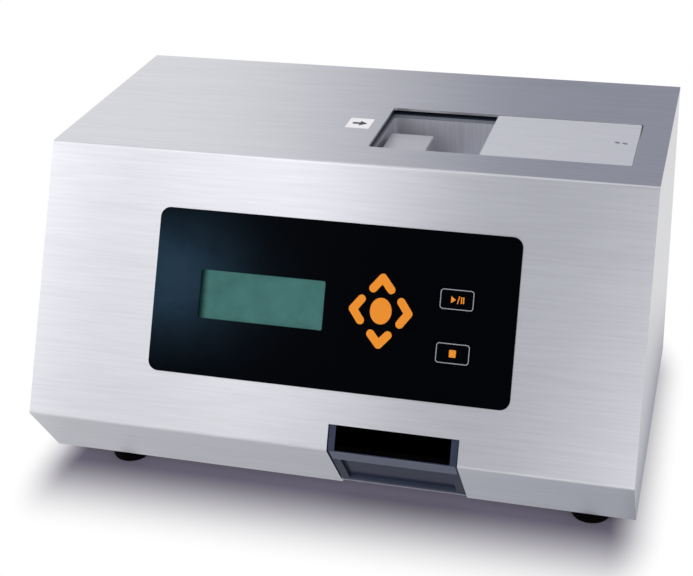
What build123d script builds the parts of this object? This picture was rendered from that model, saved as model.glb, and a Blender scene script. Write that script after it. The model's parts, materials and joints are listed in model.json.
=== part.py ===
from build123d import *
import math
import os

# Bench tester for the breaking strength of tablets.
# +X is the right-hand side seen from the front, +Y the back, +Z up.
# The origin is on the bench, under the middle of the case. Lengths are in mm.

# ---- case ----
case_width = 360.0
case_height = 191.0
case_depth = 237.0
top_depth = 167.0
nose_height = 41.5
sole_depth = 205.5
sheet = 1.5
base_sheet = 2.0
fold_radius = 2.0
seam = 0.1
flange_width = 8.0
rear_recess = 4.0

# ---- feet and screws ----
foot_height = 8.0
foot_radius = 12.5
foot_taper = 1.2
foot_web = 3.0
foot_bore_radius = 4.6
left_foot_from_side = 44.0
right_foot_from_side = 27.0
front_foot_from_sole = 13.0
back_foot_from_back = 30.0
m3_radius = 1.5
m3_head_radius = 2.8
m3_head_height = 2.0
m3_length = 6.0
m4_radius = 2.0
m4_head_radius = 3.6
m4_head_height = 2.6
m4_length = 12.0
tapped_clearance = 0.05
hole_clearance = 0.2
case_screws_per_side = 3
case_screw_margin = 26.0

# ---- keypad and display, measured on the leaning face ----
overlay_width = 215.0
overlay_height = 96.5
overlay_radius = 6.0
overlay_film = 0.8
overlay_x = 1.0
overlay_above_middle = 0.3
window_width = 75.6
window_height = 28.3
window_radius = 1.2
window_x = -40.6
window_below_overlay = 0.6
window_rim = 1.6
window_gap = 0.15
cluster_x = 30.9
cluster_below_overlay = 0.2
enter_width = 12.6
enter_height = 15.0
arrow_reach_x = 14.9
arrow_reach_y = 15.9
arrow_pad_long = 18.4
arrow_pad_short = 12.0
arrow_pad_radius = 3.2
run_key_x = 74.0
start_key_above_overlay = 10.4
stop_key_below_overlay = 19.9
run_key_width = 21.5
run_key_height = 13.5
run_key_radius = 2.5
key_gap = 0.25
key_proud = 0.1
key_lip = 0.8
key_lip_thickness = 0.8
key_lip_gap = 0.3
key_stem_radius = 1.6
key_travel = 0.4
key_air = 0.1
switch_side = 6.0
switch_body = 3.5
switch_button = 1.5
switch_button_radius = 1.7
board = 1.6
key_board_depth = 11.0
key_board_margin = 8.0
standoff_radius = 2.5
standoff_inset = 4.0
lcd_gap = 0.4
lcd_glass = 2.0
lcd_glass_margin = 3.5
lcd_frame_wall = 4.0
lcd_frame_height = 6.0
lcd_board_width = 98.0
lcd_board_height = 60.0

# ---- top opening, lid and test well ----
opening_from_left = 188.8
opening_from_right = 16.9
opening_setback = 27.2
opening_depth = 67.0
opening_radius = 2.0
lid_from_opening = 66.2
lid_sink = 0.3
lid_plate = 1.5
lid_tongue = 1.5
lid_tongue_width = 5.0
lid_tail = 2.4
lid_gap = 0.5
runner_gap = 0.2
runner_wall = 3.0
runner_floor = 3.0
deck = 2.0
deck_from_lid = 17.0
deck_lap = 7.0
well_depth = 38.0
well_wall = 1.5
well_radius = 2.0
slot_width = 15.5
slot_left_margin = 5.2
slot_right_margin = 15.6

# ---- jaws ----
jaw_home_gap = 2.4
jaw_length = 27.0
jaw_width = 32.0
jaw_height = 26.0
jaw_top_drop = 10.0
jaw_travel = 34.0
jaw_closed_gap = 4.0
jaw_edge = 0.6
anvil_length = 11.0
anvil_back_gap = 1.8
ram_radius = 6.0
ram_bush_wall = 3.0
wall_hole_clearance = 1.0

# ---- jaw drive ----
screw_drop = 24.0
screw_radius = 4.0
screw_pitch = 4.0
screw_thread_depth = 0.9
screw_thread_crest = 1.2
journal_radius = 3.0
nut_radius = 7.5
running_clearance = 0.06
press_clearance = 0.02
guide_radius = 5.0
guide_spread = 28.0
guide_drop = 12.0
guide_bush_radius = 9.5
carriage_length = 24.0
carriage_half_width = 40.0
carriage_under = 10.0
block_above_jaw = 13.0
left_block = 12.0
right_block = 14.0
block_home_gap = 4.0
block_wall_gap = 6.0
bearing_radius = 8.0
bearing_width = 6.0
journal_reach = 14.0
coupling_radius = 9.5
coupling_length = 24.0
coupling_gap = 4.0
coupling_saw_cut = 0.8
motor_from_side = 15.2
motor_size = 42.3
motor_length = 40.0
motor_corner = 4.0
motor_cap = 8.0
motor_groove = 0.6
motor_boss_radius = 11.0
motor_boss = 2.0
motor_plate = 6.0
motor_plate_gap = 2.0
motor_foot_length = 20.0
motor_shaft_radius = 2.5
motor_shaft_depth = 12.0
drive_plate = 8.0
drive_plate_drop = 70.0
drive_plate_half_width = 45.0
drive_plate_from_left = 10.0
drive_plate_past_cell = 4.0
pillar_radius = 7.0
pillar_inset_x = 20.0
pillar_inset_y = 10.0
bed_post_radius = 4.0
bed_post_inset = 11.2
bed_post_spread = 60.0
bed_post_front = -5.5
bed_post_back = 26.0

# ---- load cell ----
cell_side = 12.7
cell_length = 52.0
cell_above_jaw = 8.0
cell_stem = 7.0
cell_hole_radius = 4.0
cell_hole_spread = 7.0
cell_slot = 1.6
cell_bracket_plate = 8.0
cell_bracket_height = 25.0
cell_bracket_half_width = 18.0
cell_bracket_foot = 23.0

# ---- debris path ----
notch_beside_opening = 2.8
notch_width = 76.0
notch_height = 55.5
tray_gap = 0.6
tray_float = 0.4
tray_setback = 0.6
tray_wall = 4.0
tray_front = 5.0
tray_floor = 3.0
tray_back_gap = 3.0
tray_lip_drop = 0.5
tray_panel_top = 14.0
tray_panel_height = 31.0
tray_panel_recess = 2.0
tray_panel_inset = 5.0
chute_wall = 1.5
chute_flange = 2.4
chute_over_tray = 2.0
guide_wall = 3.0
guide_height = 18.0
guide_front_gap = 10.0
guide_stop_gap = 0.4

# ---- electrics ----
control_from_side = 40.0
control_width = 118.0
control_from_sole = 2.2
control_depth = 75.0
control_lift = 8.0
chip_size = 16.0
chip_height = 3.0
connector_width = 22.0
connector_depth = 8.0
connector_height = 9.0
supply_from_side = 40.0
supply_width = 100.0
supply_from_back = 98.3
supply_depth = 56.0
supply_height = 36.0
supply_sheet = 1.2
inlet_from_side = 60.0
inlet_height_over_base = 35.0
inlet_body_width = 27.0
inlet_body_height = 20.0
inlet_body_depth = 22.0
inlet_flange_width = 44.0
inlet_flange_height = 24.0
inlet_flange = 2.5
inlet_cavity_width = 22.0
inlet_cavity_height = 14.0
inlet_cavity_depth = 15.0
inlet_pin_spacing = 7.0
inlet_pin_width = 2.0
inlet_pin_height = 4.0
inlet_pin_length = 10.0
rocker_from_side = 108.0
switch_frame_width = 21.0
switch_frame_height = 15.0
switch_frame_flange = 2.0
switch_frame_border = 2.0
switch_frame_depth = 14.0
rocker_gap = 0.5
rocker_tilt = 8.0
rocker_depth = 7.0
rocker_proud = 0.6
rocker_pin_radius = 1.2
rocker_root_share = 0.8
port_from_side = 120.0
port_flange_width = 31.0
port_flange_height = 12.5
port_flange = 1.0
port_shell_width = 17.0
port_shell_height = 8.5
port_shell_out = 2.6
port_body_depth = 9.0
ribbon_width = 20.0
ribbon_thickness = 1.2
ribbon_bend = 6.0
ribbon_reach = 18.0
ribbon_rise = 24.0
vent_count = 9
vent_pitch = 9.0
vent_width = 3.0
vent_height = 36.0
vent_from_side = 100.0
vent_height_over_base = 120.0

# ---- label ----
label_width = 15.0
label_depth = 16.6
label_film = 0.15
label_from_opening = 14.3
label_setback = 63.3

# ---- places worked out from the sizes above ----
face_lean = math.atan2(case_depth - top_depth, case_height - nose_height)
chamfer_lean = math.atan2(case_depth - sole_depth, nose_height)
nose_round = fold_radius * ((math.sin(face_lean) + math.sin(chamfer_lean))
                            / math.sin(face_lean + chamfer_lean) - 1)
half_width = case_width / 2
y_back = (case_depth - nose_round) / 2
y_nose = y_back - case_depth
y_edge = y_back - top_depth
y_sole = y_back - sole_depth
z_sole = foot_height
z_top = foot_height + case_height
z_nose = foot_height + nose_height
z_base = z_sole + base_sheet
inner_side = half_width - sheet
rear_outer = y_back - rear_recess
rear_inner = rear_outer - sheet

face_run = Vector(0, y_nose - y_edge, z_nose - z_top)
face_up = face_run.normalized() * -1
face_out = Vector(1, 0, 0).cross(face_up)
face_in = face_out * -1
face_plane = Plane(origin=(0, y_edge, z_top), x_dir=(1, 0, 0), z_dir=face_out)

face_middle = face_run.length / 2
overlay_drop = face_middle - overlay_above_middle
window_drop = overlay_drop + window_below_overlay
cluster_drop = overlay_drop + cluster_below_overlay
start_key_drop = overlay_drop - start_key_above_overlay
stop_key_drop = overlay_drop + stop_key_below_overlay

opening_left = opening_from_left - half_width
opening_right = half_width - opening_from_right
opening_front = y_edge + opening_setback
opening_back = opening_front + opening_depth
test_axis = (opening_front + opening_back) / 2
z_lid_top = z_top - lid_sink
z_tongue_top = z_lid_top - lid_plate
z_tongue_bottom = z_tongue_top - lid_tongue
z_runner = z_tongue_bottom - runner_gap
z_runner_bottom = z_runner - runner_floor
z_deck_bottom = z_runner_bottom - deck
lid_left = opening_left + lid_from_opening
lid_right = opening_right - 2 * lid_gap
deck_left = lid_left + deck_from_lid

z_jaw_top = z_top - jaw_top_drop
z_jaw = z_jaw_top - jaw_height / 2
z_well = z_top - well_depth
z_well_bottom = z_well - well_wall
jaw_back = opening_left + jaw_home_gap
jaw_face = jaw_back + jaw_length
anvil_face = jaw_face + jaw_travel + jaw_closed_gap
anvil_back = anvil_face + anvil_length
well_right = anvil_back + anvil_back_gap
slot_left = opening_left + slot_left_margin
slot_right = well_right - slot_right_margin
slot_back = opening_front + slot_width

z_screw = z_jaw - screw_drop
z_guide = z_jaw - guide_drop
z_plate = z_top - drive_plate_drop
z_plate_bottom = z_plate - drive_plate
motor_back = motor_from_side - half_width
motor_front = motor_back + motor_length
motor_plate_right = motor_front + motor_plate
coupling_left = motor_plate_right + motor_plate_gap
coupling_right = coupling_left + coupling_length
left_block_left = coupling_right + coupling_gap
left_block_right = left_block_left + left_block
carriage_left = left_block_right + block_home_gap
carriage_right = carriage_left + carriage_length
right_block_right = opening_left - well_wall - block_wall_gap
right_block_left = right_block_right - right_block
drive_plate_left = drive_plate_from_left - half_width
bed_post_left = opening_left + bed_post_inset
bed_post_right = bed_post_left + bed_post_spread

cell_left = anvil_back + cell_stem
cell_right = cell_left + cell_side
cell_foot_right = cell_right + cell_bracket_plate + cell_bracket_foot
drive_plate_right = cell_foot_right + drive_plate_past_cell
z_cell_top = z_jaw + cell_above_jaw
z_cell_bottom = z_cell_top - cell_length

notch_left = opening_left - notch_beside_opening
notch_right = notch_left + notch_width
z_notch = z_sole + notch_height
tray_left = notch_left + tray_gap
tray_right = notch_right - tray_gap
z_tray_bottom = z_base + tray_float
z_tray_top = z_notch - tray_gap
tray_inner_back = slot_back + chute_wall + tray_back_gap
tray_back = tray_inner_back + tray_wall

control_left = control_from_side - half_width
control_front = y_sole + control_from_sole
supply_left = supply_from_side - half_width
supply_front = y_back - supply_from_back
inlet_x = inlet_from_side - half_width
rocker_x = rocker_from_side - half_width
port_x = half_width - port_from_side
vent_x = half_width - vent_from_side
z_rear_ports = z_base + inlet_height_over_base


# ---- shapes used again and again ----
def block(x1, x2, y1, y2, z1, z2):
    """A box between two corners."""
    return Pos((x1 + x2) / 2, (y1 + y2) / 2, (z1 + z2) / 2) * Box(x2 - x1, y2 - y1, z2 - z1)


def rod_x(x1, x2, y, z, radius):
    """A round bar along X."""
    return Pos((x1 + x2) / 2, y, z) * Rot(0, 90, 0) * Cylinder(radius, x2 - x1)


def rod_z(x, y, z1, z2, radius):
    """A round bar along Z."""
    return Pos(x, y, (z1 + z2) / 2) * Cylinder(radius, z2 - z1)


def rounded_block(x1, x2, y1, y2, z1, z2, radius):
    """A box whose upright edges are rounded."""
    outline = RectangleRounded(x2 - x1, y2 - y1, radius)
    return Pos((x1 + x2) / 2, (y1 + y2) / 2, z1) * extrude(outline, z2 - z1)


def profile(top=0.0, front=0.0, chamfer=0.0, bottom=0.0, back=0.0):
    """The case outline in Y and Z, with each side moved inwards by its own amount."""
    corners = [Vector(y_back, z_sole), Vector(y_back, z_top), Vector(y_edge, z_top),
               Vector(y_nose, z_nose), Vector(y_sole, z_sole)]
    sides = []
    for start, end, inset in zip(corners, corners[1:] + corners[:1], (back, top, front, chamfer, bottom)):
        along = (end - start).normalized()
        inwards = Vector(-along.Y, along.X)
        sides.append((start + inwards * inset, along))
    points = []
    for (p, u), (q, w) in zip(sides[-1:] + sides[:-1], sides):
        reach = ((q - p).X * w.Y - (q - p).Y * w.X) / (u.X * w.Y - u.Y * w.X)
        crossing = p + u * reach
        points.append((crossing.X, crossing.Y))
    return points


def prism(points, x1, x2, fold=0.0):
    """An outline in Y and Z carried from x1 to x2. The two front folds may be rounded."""
    outline = make_face(Polyline(*points, close=True))
    if fold > 0:
        folds = [outline.vertices().sort_by_distance((*points[i], 0))[0] for i in (2, 3)]
        outline = fillet(folds, fold)
    return Pos(x1, 0, 0) * extrude(Plane.YZ * outline, x2 - x1, dir=(1, 0, 0))


def on_face(x, drop, out=0.0):
    """A place on the leaning face: x, distance down from the top fold, distance outwards."""
    return face_plane.location * Pos(x, -drop, out)


def face_slab(outline, x, drop, inner, outer):
    """An outline on the leaning face, thickened from inner to outer."""
    return on_face(x, drop, inner) * extrude(outline, outer - inner)


def screw_up(x, y, z, radius, head_radius, head_height, length):
    """A socket-head screw driven upwards, with its head under z."""
    body = rod_z(x, y, z - head_height, z, head_radius) + rod_z(x, y, z, z + length, radius)
    socket = Pos(x, y, z - head_height) * extrude(RegularPolygon(radius, 6), head_height / 2)
    return body - socket


def m3_up(x, y, z):
    return screw_up(x, y, z, m3_radius, m3_head_radius, m3_head_height, m3_length)


def m4_up(x, y, z):
    return screw_up(x, y, z, m4_radius, m4_head_radius, m4_head_height, m4_length)


def spread(low, high, count):
    """Evenly spaced places from low to high, both included."""
    return [low + (high - low) * i / (count - 1) for i in range(count)]


# ---- places of screws, feet and pillars ----
case_screw_x = inner_side - flange_width / 2 - m3_radius / 2
base_screw_ys = spread(y_sole + case_screw_margin, rear_inner - case_screw_margin, case_screws_per_side)
rear_screw_zs = spread(z_base + case_screw_margin, z_top - case_screw_margin, case_screws_per_side)
foot_places = [(x, y)
               for x in (left_foot_from_side - half_width, half_width - right_foot_from_side)
               for y in (y_sole + front_foot_from_sole, y_back - back_foot_from_back)]
pillar_places = [(x, test_axis + side * (drive_plate_half_width - pillar_inset_y))
                 for x in (drive_plate_left + pillar_inset_x, drive_plate_right - pillar_inset_x)
                 for side in (-1, 1)]
bed_posts = [(x, test_axis + y)
             for x in (bed_post_left, bed_post_right)
             for y in (bed_post_front, bed_post_back)]
deck_screw_ys = (opening_front - lid_tongue_width / 2, opening_back + lid_tongue_width / 2)
deck_screw_xs = (deck_left + deck_lap, opening_right - deck_lap)


# ---- keys: name, x, drop, outline ----
def arrow_pad(width, height, grow):
    return RectangleRounded(width + 2 * grow, height + 2 * grow, arrow_pad_radius + grow)


def key_outlines(grow=0.0):
    """Where each key is, and its outline grown by a margin."""
    upright = arrow_pad(arrow_pad_short, arrow_pad_long, grow)
    lying = arrow_pad(arrow_pad_long, arrow_pad_short, grow)
    run_key = RectangleRounded(run_key_width + 2 * grow, run_key_height + 2 * grow, run_key_radius + grow)
    enter = Ellipse(enter_width / 2 + grow, enter_height / 2 + grow)
    return {
        "key_up": (cluster_x, cluster_drop - arrow_reach_y, lying),
        "key_down": (cluster_x, cluster_drop + arrow_reach_y, lying),
        "key_left": (cluster_x - arrow_reach_x, cluster_drop, upright),
        "key_right": (cluster_x + arrow_reach_x, cluster_drop, upright),
        "key_enter": (cluster_x, cluster_drop, enter),
        "key_start": (run_key_x, start_key_drop, run_key),
        "key_stop": (run_key_x, stop_key_drop, run_key),
    }


def key_holes(inner, outer):
    """What the keys need cut out of a layer of the face."""
    return [face_slab(outline, x, drop, inner, outer)
            for x, drop, outline in key_outlines(key_gap).values()]


# ---- case ----
def make_cover():
    """Top, front and chamfer, folded from one sheet."""
    outer = prism(profile(), -half_width, half_width, fold_radius)
    past = 4 * sheet
    hollow = prism(profile(sheet, sheet, sheet, -past, -past), -half_width - past, half_width + past,
                   fold_radius - sheet)
    cover = outer - hollow
    cover -= rounded_block(opening_left, opening_right, opening_front, opening_back,
                           z_top - past, z_top + past, opening_radius)
    cover -= block(notch_left, notch_right, y_nose - past, y_sole + past, z_sole - past, z_notch)
    window = RectangleRounded(window_width + 2 * window_rim, window_height + 2 * window_rim, window_radius)
    cover -= face_slab(window, window_x, window_drop, -past, past)
    for hole in key_holes(-past, past):
        cover -= hole
    return cover


def make_side_panel(side):
    """A flat pan inside the cover's end, with its flanges turned in."""
    gap = sheet + seam
    panel = prism(profile(gap, gap, gap), inner_side, half_width, fold_radius / 2)
    under = base_sheet + seam
    behind = rear_recess + sheet + seam
    ring = prism(profile(gap, gap, gap, under, behind), inner_side - flange_width, inner_side,
                 fold_radius / 2)
    inside = gap + sheet
    hollow = prism(profile(inside, inside, inside, under + sheet, behind + sheet),
                   inner_side - 2 * flange_width, inner_side)
    panel += ring - hollow
    tapped = m3_radius + tapped_clearance
    for y in base_screw_ys:
        panel -= rod_z(case_screw_x, y, z_base, z_base + 2 * sheet, tapped)
    for z in rear_screw_zs:
        panel -= Pos(case_screw_x, rear_inner - sheet, z) * Rot(90, 0, 0) * Cylinder(tapped, 3 * sheet)
    return panel if side > 0 else mirror(panel, Plane.YZ)


def make_base_plate():
    """The floor of the case."""
    front = max(y for y, z in profile(chamfer=sheet + seam) if z <= z_sole + seam and y < 0)
    plate = block(-inner_side + seam, inner_side - seam, front, y_back, z_sole, z_base)
    for side in (-1, 1):
        for y in base_screw_ys:
            plate -= rod_z(side * case_screw_x, y, z_sole, z_base, m3_radius + hole_clearance)
    for x, y in foot_places + pillar_places:
        plate -= rod_z(x, y, z_sole, z_base, m4_radius + tapped_clearance)
    return plate


def make_rear_panel():
    """The back wall, with vents and the cut-outs for inlet, switch and port."""
    panel = block(-inner_side + seam, inner_side - seam, rear_inner, rear_outer,
                  z_base + seam, z_top - sheet - seam)
    past = 4 * sheet

    def cut(x, z, width, height):
        return block(x - width / 2, x + width / 2, rear_inner - past, rear_outer + past,
                     z - height / 2, z + height / 2)

    fit = 2 * hole_clearance
    panel -= cut(inlet_x, z_rear_ports, inlet_body_width + fit, inlet_body_height + fit)
    switch_width = switch_frame_width - switch_frame_border
    switch_height = switch_frame_height - switch_frame_border
    panel -= cut(rocker_x, z_rear_ports, switch_height + fit, switch_width + fit)
    panel -= cut(port_x, z_rear_ports, port_shell_width + fit, port_shell_height + fit)
    for i in range(vent_count):
        x = vent_x + (i - (vent_count - 1) / 2) * vent_pitch
        panel -= cut(x, z_base + vent_height_over_base, vent_width, vent_height)
    for side in (-1, 1):
        for z in rear_screw_zs:
            hole = Cylinder(m3_radius + hole_clearance, 4 * sheet)
            panel -= Pos(side * case_screw_x, rear_inner, z) * Rot(90, 0, 0) * hole
    return panel


def make_feet():
    """Rubber feet, wider at the top, with a recess for the screw head."""
    feet = []
    for x, y in foot_places:
        foot = Pos(x, y, z_sole / 2) * Cone(foot_radius - foot_taper, foot_radius, foot_height)
        foot -= rod_z(x, y, 0, foot_height - foot_web, foot_bore_radius)
        foot -= rod_z(x, y, 0, foot_height, m4_radius + hole_clearance)
        feet.append(foot)
    return feet


def make_large_screws():
    """M4 screws: one in each foot, and one at each end of each pillar."""
    screws = [m4_up(x, y, z_sole - foot_web) for x, y in foot_places]
    screws += [m4_up(x, y, z_sole) for x, y in pillar_places]
    screws += [Pos(x, y, z_plate) * Rot(180, 0, 0) * m4_up(0, 0, 0) for x, y in pillar_places]
    return screws


def make_small_screws():
    """M3 screws of the base plate, the rear panel and the inner deck."""
    screws = []
    for side in (-1, 1):
        screws += [m3_up(side * case_screw_x, y, z_sole) for y in base_screw_ys]
        for z in rear_screw_zs:
            screws.append(Pos(side * case_screw_x, rear_outer, z) * Rot(90, 0, 0) * m3_up(0, 0, 0))
    for x in deck_screw_xs:
        for y in deck_screw_ys:
            screws.append(screw_up(x, y, z_deck_bottom, m3_radius, m3_head_radius, m3_head_height,
                                   deck + runner_floor - runner_gap))
    return screws


# ---- keypad and display ----
def make_overlay():
    """The black film on the face, open at the keys and the window."""
    film = face_slab(RectangleRounded(overlay_width, overlay_height, overlay_radius),
                     overlay_x, overlay_drop, 0, overlay_film)
    window = RectangleRounded(window_width, window_height, window_radius)
    film -= face_slab(window, window_x, window_drop, 0, overlay_film)
    for hole in key_holes(0, overlay_film):
        film -= hole
    return film


def make_key(x, drop, outline, lip):
    """A key pad with its retaining lip and the stem that reaches its switch."""
    lip_top = -sheet - key_lip_gap
    lip_bottom = lip_top - key_lip_thickness
    stem_end = -key_board_depth + switch_body + switch_button + key_travel + key_air
    pad = face_slab(outline, x, drop, lip_top, overlay_film + key_proud)
    pad += face_slab(lip, x, drop, lip_bottom, lip_top)
    return pad + face_slab(Circle(key_stem_radius), x, drop, stem_end, lip_bottom)


def make_tact_switches():
    """One small switch behind each key."""
    switches = []
    for x, drop, _ in key_outlines().values():
        top = -key_board_depth + switch_body
        body = face_slab(Rectangle(switch_side, switch_side), x, drop, -key_board_depth, top)
        switches.append(body + face_slab(Circle(switch_button_radius), x, drop, top, top + switch_button))
    return switches


def key_board_box():
    """Low and high x and drop of the key board."""
    reach = key_board_margin + arrow_pad_short / 2
    left = cluster_x - arrow_reach_x - arrow_pad_short / 2
    right = run_key_x + run_key_width / 2 + key_board_margin
    return left, right, cluster_drop - arrow_reach_y - reach, cluster_drop + arrow_reach_y + reach


def make_key_board():
    left, right, high, low = key_board_box()
    plate = face_slab(Rectangle(right - left, low - high), (left + right) / 2, (high + low) / 2,
                      -key_board_depth - board, -key_board_depth)
    for x, drop in key_board_corners():
        plate -= face_slab(Circle(m3_radius), x, drop, -key_board_depth - board, -key_board_depth)
    return plate


def key_board_corners():
    left, right, high, low = key_board_box()
    return [(x, drop) for x in (left + standoff_inset, right - standoff_inset)
            for drop in (high + standoff_inset, low - standoff_inset)]


def lcd_corners():
    return [(window_x + a * (lcd_board_width / 2 - standoff_inset),
             window_drop + b * (lcd_board_height / 2 - standoff_inset))
            for a in (-1, 1) for b in (-1, 1)]


def control_corners():
    return [(x, y) for x in (control_left + standoff_inset, control_left + control_width - standoff_inset)
            for y in (control_front + standoff_inset, control_front + control_depth - standoff_inset)]


glass_outer = -sheet - lcd_gap
frame_outer = glass_outer
frame_inner = frame_outer - lcd_frame_height


def make_display_window():
    """The clear insert: a rim behind the film and a land that fills its window."""
    rim = RectangleRounded(window_width + 2 * (window_rim - window_gap),
                           window_height + 2 * (window_rim - window_gap), window_radius)
    land = RectangleRounded(window_width - 2 * window_gap, window_height - 2 * window_gap, window_radius)
    return (face_slab(rim, window_x, window_drop, -sheet, 0)
            + face_slab(land, window_x, window_drop, 0, overlay_film))


def make_display_glass():
    glass = Rectangle(window_width + 2 * lcd_glass_margin, window_height + 2 * lcd_glass_margin)
    return face_slab(glass, window_x, window_drop, glass_outer - lcd_glass, glass_outer)


def make_display_frame():
    """The metal frame that holds the glass to its board."""
    width = window_width + 2 * lcd_glass_margin + 2 * seam
    height = window_height + 2 * lcd_glass_margin + 2 * seam
    wall = 2 * lcd_frame_wall
    frame = face_slab(Rectangle(width + wall, height + wall), window_x, window_drop, frame_inner, frame_outer)
    frame -= face_slab(Rectangle(width, height), window_x, window_drop, glass_outer - lcd_glass, frame_outer)
    inset = Rectangle(width - wall, height - wall)
    return frame - face_slab(inset, window_x, window_drop, frame_inner, frame_outer)


def make_display_board():
    plate = face_slab(Rectangle(lcd_board_width, lcd_board_height), window_x, window_drop,
                      frame_inner - board, frame_inner)
    for x, drop in lcd_corners():
        plate -= face_slab(Circle(m3_radius), x, drop, frame_inner - board, frame_inner)
    return plate


def make_board_standoffs():
    """Studs between the face and its two boards, and between base plate and control board."""
    studs = [face_slab(Circle(standoff_radius), x, drop, -key_board_depth, -sheet)
             for x, drop in key_board_corners()]
    studs += [face_slab(Circle(standoff_radius), x, drop, frame_inner, -sheet)
              for x, drop in lcd_corners()]
    studs += [rod_z(x, y, z_base, z_base + control_lift, standoff_radius) for x, y in control_corners()]
    return studs


# ---- lid and test well ----
def make_lid():
    """A plate in the opening, with a wider tongue that runs under the top sheet."""
    plate = rounded_block(lid_left, lid_right, opening_front + lid_gap, opening_back - lid_gap,
                          z_tongue_top, z_lid_top, opening_radius - lid_gap)
    tongue = block(lid_left, lid_right + lid_tail, opening_front - lid_tongue_width,
                   opening_back + lid_tongue_width, z_tongue_bottom, z_tongue_top)
    return plate + tongue


def make_lid_frame():
    """The runner frame under the top sheet, open in the middle."""
    side = lid_tongue_width + lid_gap
    left = opening_left - runner_wall
    right = lid_right + lid_tail + lid_gap + runner_wall
    z_under_top = z_top - sheet
    frame = block(left, right, opening_front - side - runner_wall, opening_back + side + runner_wall,
                  z_runner_bottom, z_under_top)
    frame -= block(opening_left, right - runner_wall, opening_front - side, opening_back + side,
                   z_runner, z_under_top)
    frame -= rounded_block(opening_left, opening_right, opening_front, opening_back,
                           z_runner_bottom, z_under_top, opening_radius)
    for x in deck_screw_xs:
        for y in deck_screw_ys:
            frame -= rod_z(x, y, z_runner_bottom, z_runner, m3_radius + tapped_clearance)
    return frame


def make_inner_deck():
    """The fixed plate that hides the load cell when the lid is closed."""
    side = lid_tongue_width + lid_gap
    right = lid_right + lid_tail + lid_gap
    plate = block(deck_left, right, opening_front - side, opening_back + side, z_deck_bottom, z_runner_bottom)
    for x in deck_screw_xs:
        for y in deck_screw_ys:
            plate -= rod_z(x, y, z_deck_bottom, z_runner_bottom, m3_radius + hole_clearance)
    return plate


def make_test_bed():
    """The pan of the test well, with holes for ram and anvil and the debris slot."""
    wall = well_wall
    pan = rounded_block(opening_left - wall, well_right + wall, opening_front - wall, opening_back + wall,
                        z_well_bottom, z_runner_bottom, well_radius + wall)
    pan -= rounded_block(opening_left, well_right, opening_front, opening_back,
                         z_well, z_runner_bottom, well_radius)
    hole_radius = ram_radius + wall_hole_clearance
    for x in (opening_left - wall / 2, well_right + wall / 2):
        pan -= rod_x(x - wall, x + wall, test_axis, z_jaw, hole_radius)
    return pan - block(slot_left, slot_right, opening_front, slot_back, z_well_bottom, z_well)


def make_moving_jaw():
    jaw = block(jaw_back, jaw_face, test_axis - jaw_width / 2, test_axis + jaw_width / 2,
                z_jaw_top - jaw_height, z_jaw_top)
    return chamfer(jaw.edges(), jaw_edge)


def make_anvil():
    """The fixed jaw, with the stem that presses on the load cell."""
    pad = block(anvil_face, anvil_back, test_axis - jaw_width / 2, test_axis + jaw_width / 2,
                z_jaw_top - jaw_height, z_jaw_top)
    stem = rod_x(anvil_back - jaw_edge, cell_left, test_axis, z_jaw, ram_radius)
    return chamfer(pad.edges(), jaw_edge) + stem


# ---- jaw drive ----
def make_drive_plate():
    plate = block(drive_plate_left, drive_plate_right, test_axis - drive_plate_half_width,
                  test_axis + drive_plate_half_width, z_plate_bottom, z_plate)
    gap = chute_wall + hole_clearance
    plate -= block(slot_left - gap, slot_right + gap, opening_front - gap, slot_back + gap,
                   z_plate_bottom, z_plate)
    for x, y in pillar_places:
        plate -= rod_z(x, y, z_plate_bottom, z_plate, m4_radius + hole_clearance)
    return plate


def make_drive_pillars():
    pillars = []
    for x, y in pillar_places:
        pillar = rod_z(x, y, z_base, z_plate_bottom, pillar_radius)
        for z in (z_base, z_plate_bottom):
            pillar -= rod_z(x, y, z - m4_length, z + m4_length, m4_radius + tapped_clearance)
        pillars.append(pillar)
    return pillars


def drive_section(x1, x2, floor):
    """A block across the drive, from floor up to just over the ram."""
    return block(x1, x2, test_axis - carriage_half_width, test_axis + carriage_half_width,
                 floor, z_jaw + block_above_jaw)


def make_left_block():
    """Holds the guide rods and the driven end of the screw."""
    body = drive_section(left_block_left, left_block_right, z_plate)
    for side in (-1, 1):
        body -= rod_x(left_block_left, left_block_right, test_axis + side * guide_spread, z_guide,
                      guide_radius + press_clearance)
    body -= rod_x(left_block_left, left_block_right, test_axis, z_screw, journal_radius + wall_hole_clearance)
    return body - rod_x(left_block_left, left_block_left + bearing_width, test_axis, z_screw,
                        bearing_radius + press_clearance)


def make_right_block():
    """Holds the guide rods, the free end of the screw and the bush of the ram."""
    body = drive_section(right_block_left, right_block_right, z_plate)
    for side in (-1, 1):
        body -= rod_x(right_block_left, right_block_right, test_axis + side * guide_spread, z_guide,
                      guide_radius + press_clearance)
    body -= rod_x(right_block_left, right_block_left + bearing_width, test_axis, z_screw,
                  bearing_radius + press_clearance)
    return body - rod_x(right_block_left, right_block_right, test_axis, z_jaw,
                        ram_radius + ram_bush_wall + press_clearance)


def tube_x(x1, x2, y, z, outer, inner):
    return rod_x(x1, x2, y, z, outer) - rod_x(x1, x2, y, z, inner)


def make_screw_bearings():
    inner = journal_radius + running_clearance
    return [tube_x(x, x + bearing_width, test_axis, z_screw, bearing_radius, inner)
            for x in (left_block_left, right_block_left)]


def make_guide_rods():
    return [rod_x(left_block_left, right_block_right, test_axis + side * guide_spread, z_guide, guide_radius)
            for side in (-1, 1)]


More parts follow.
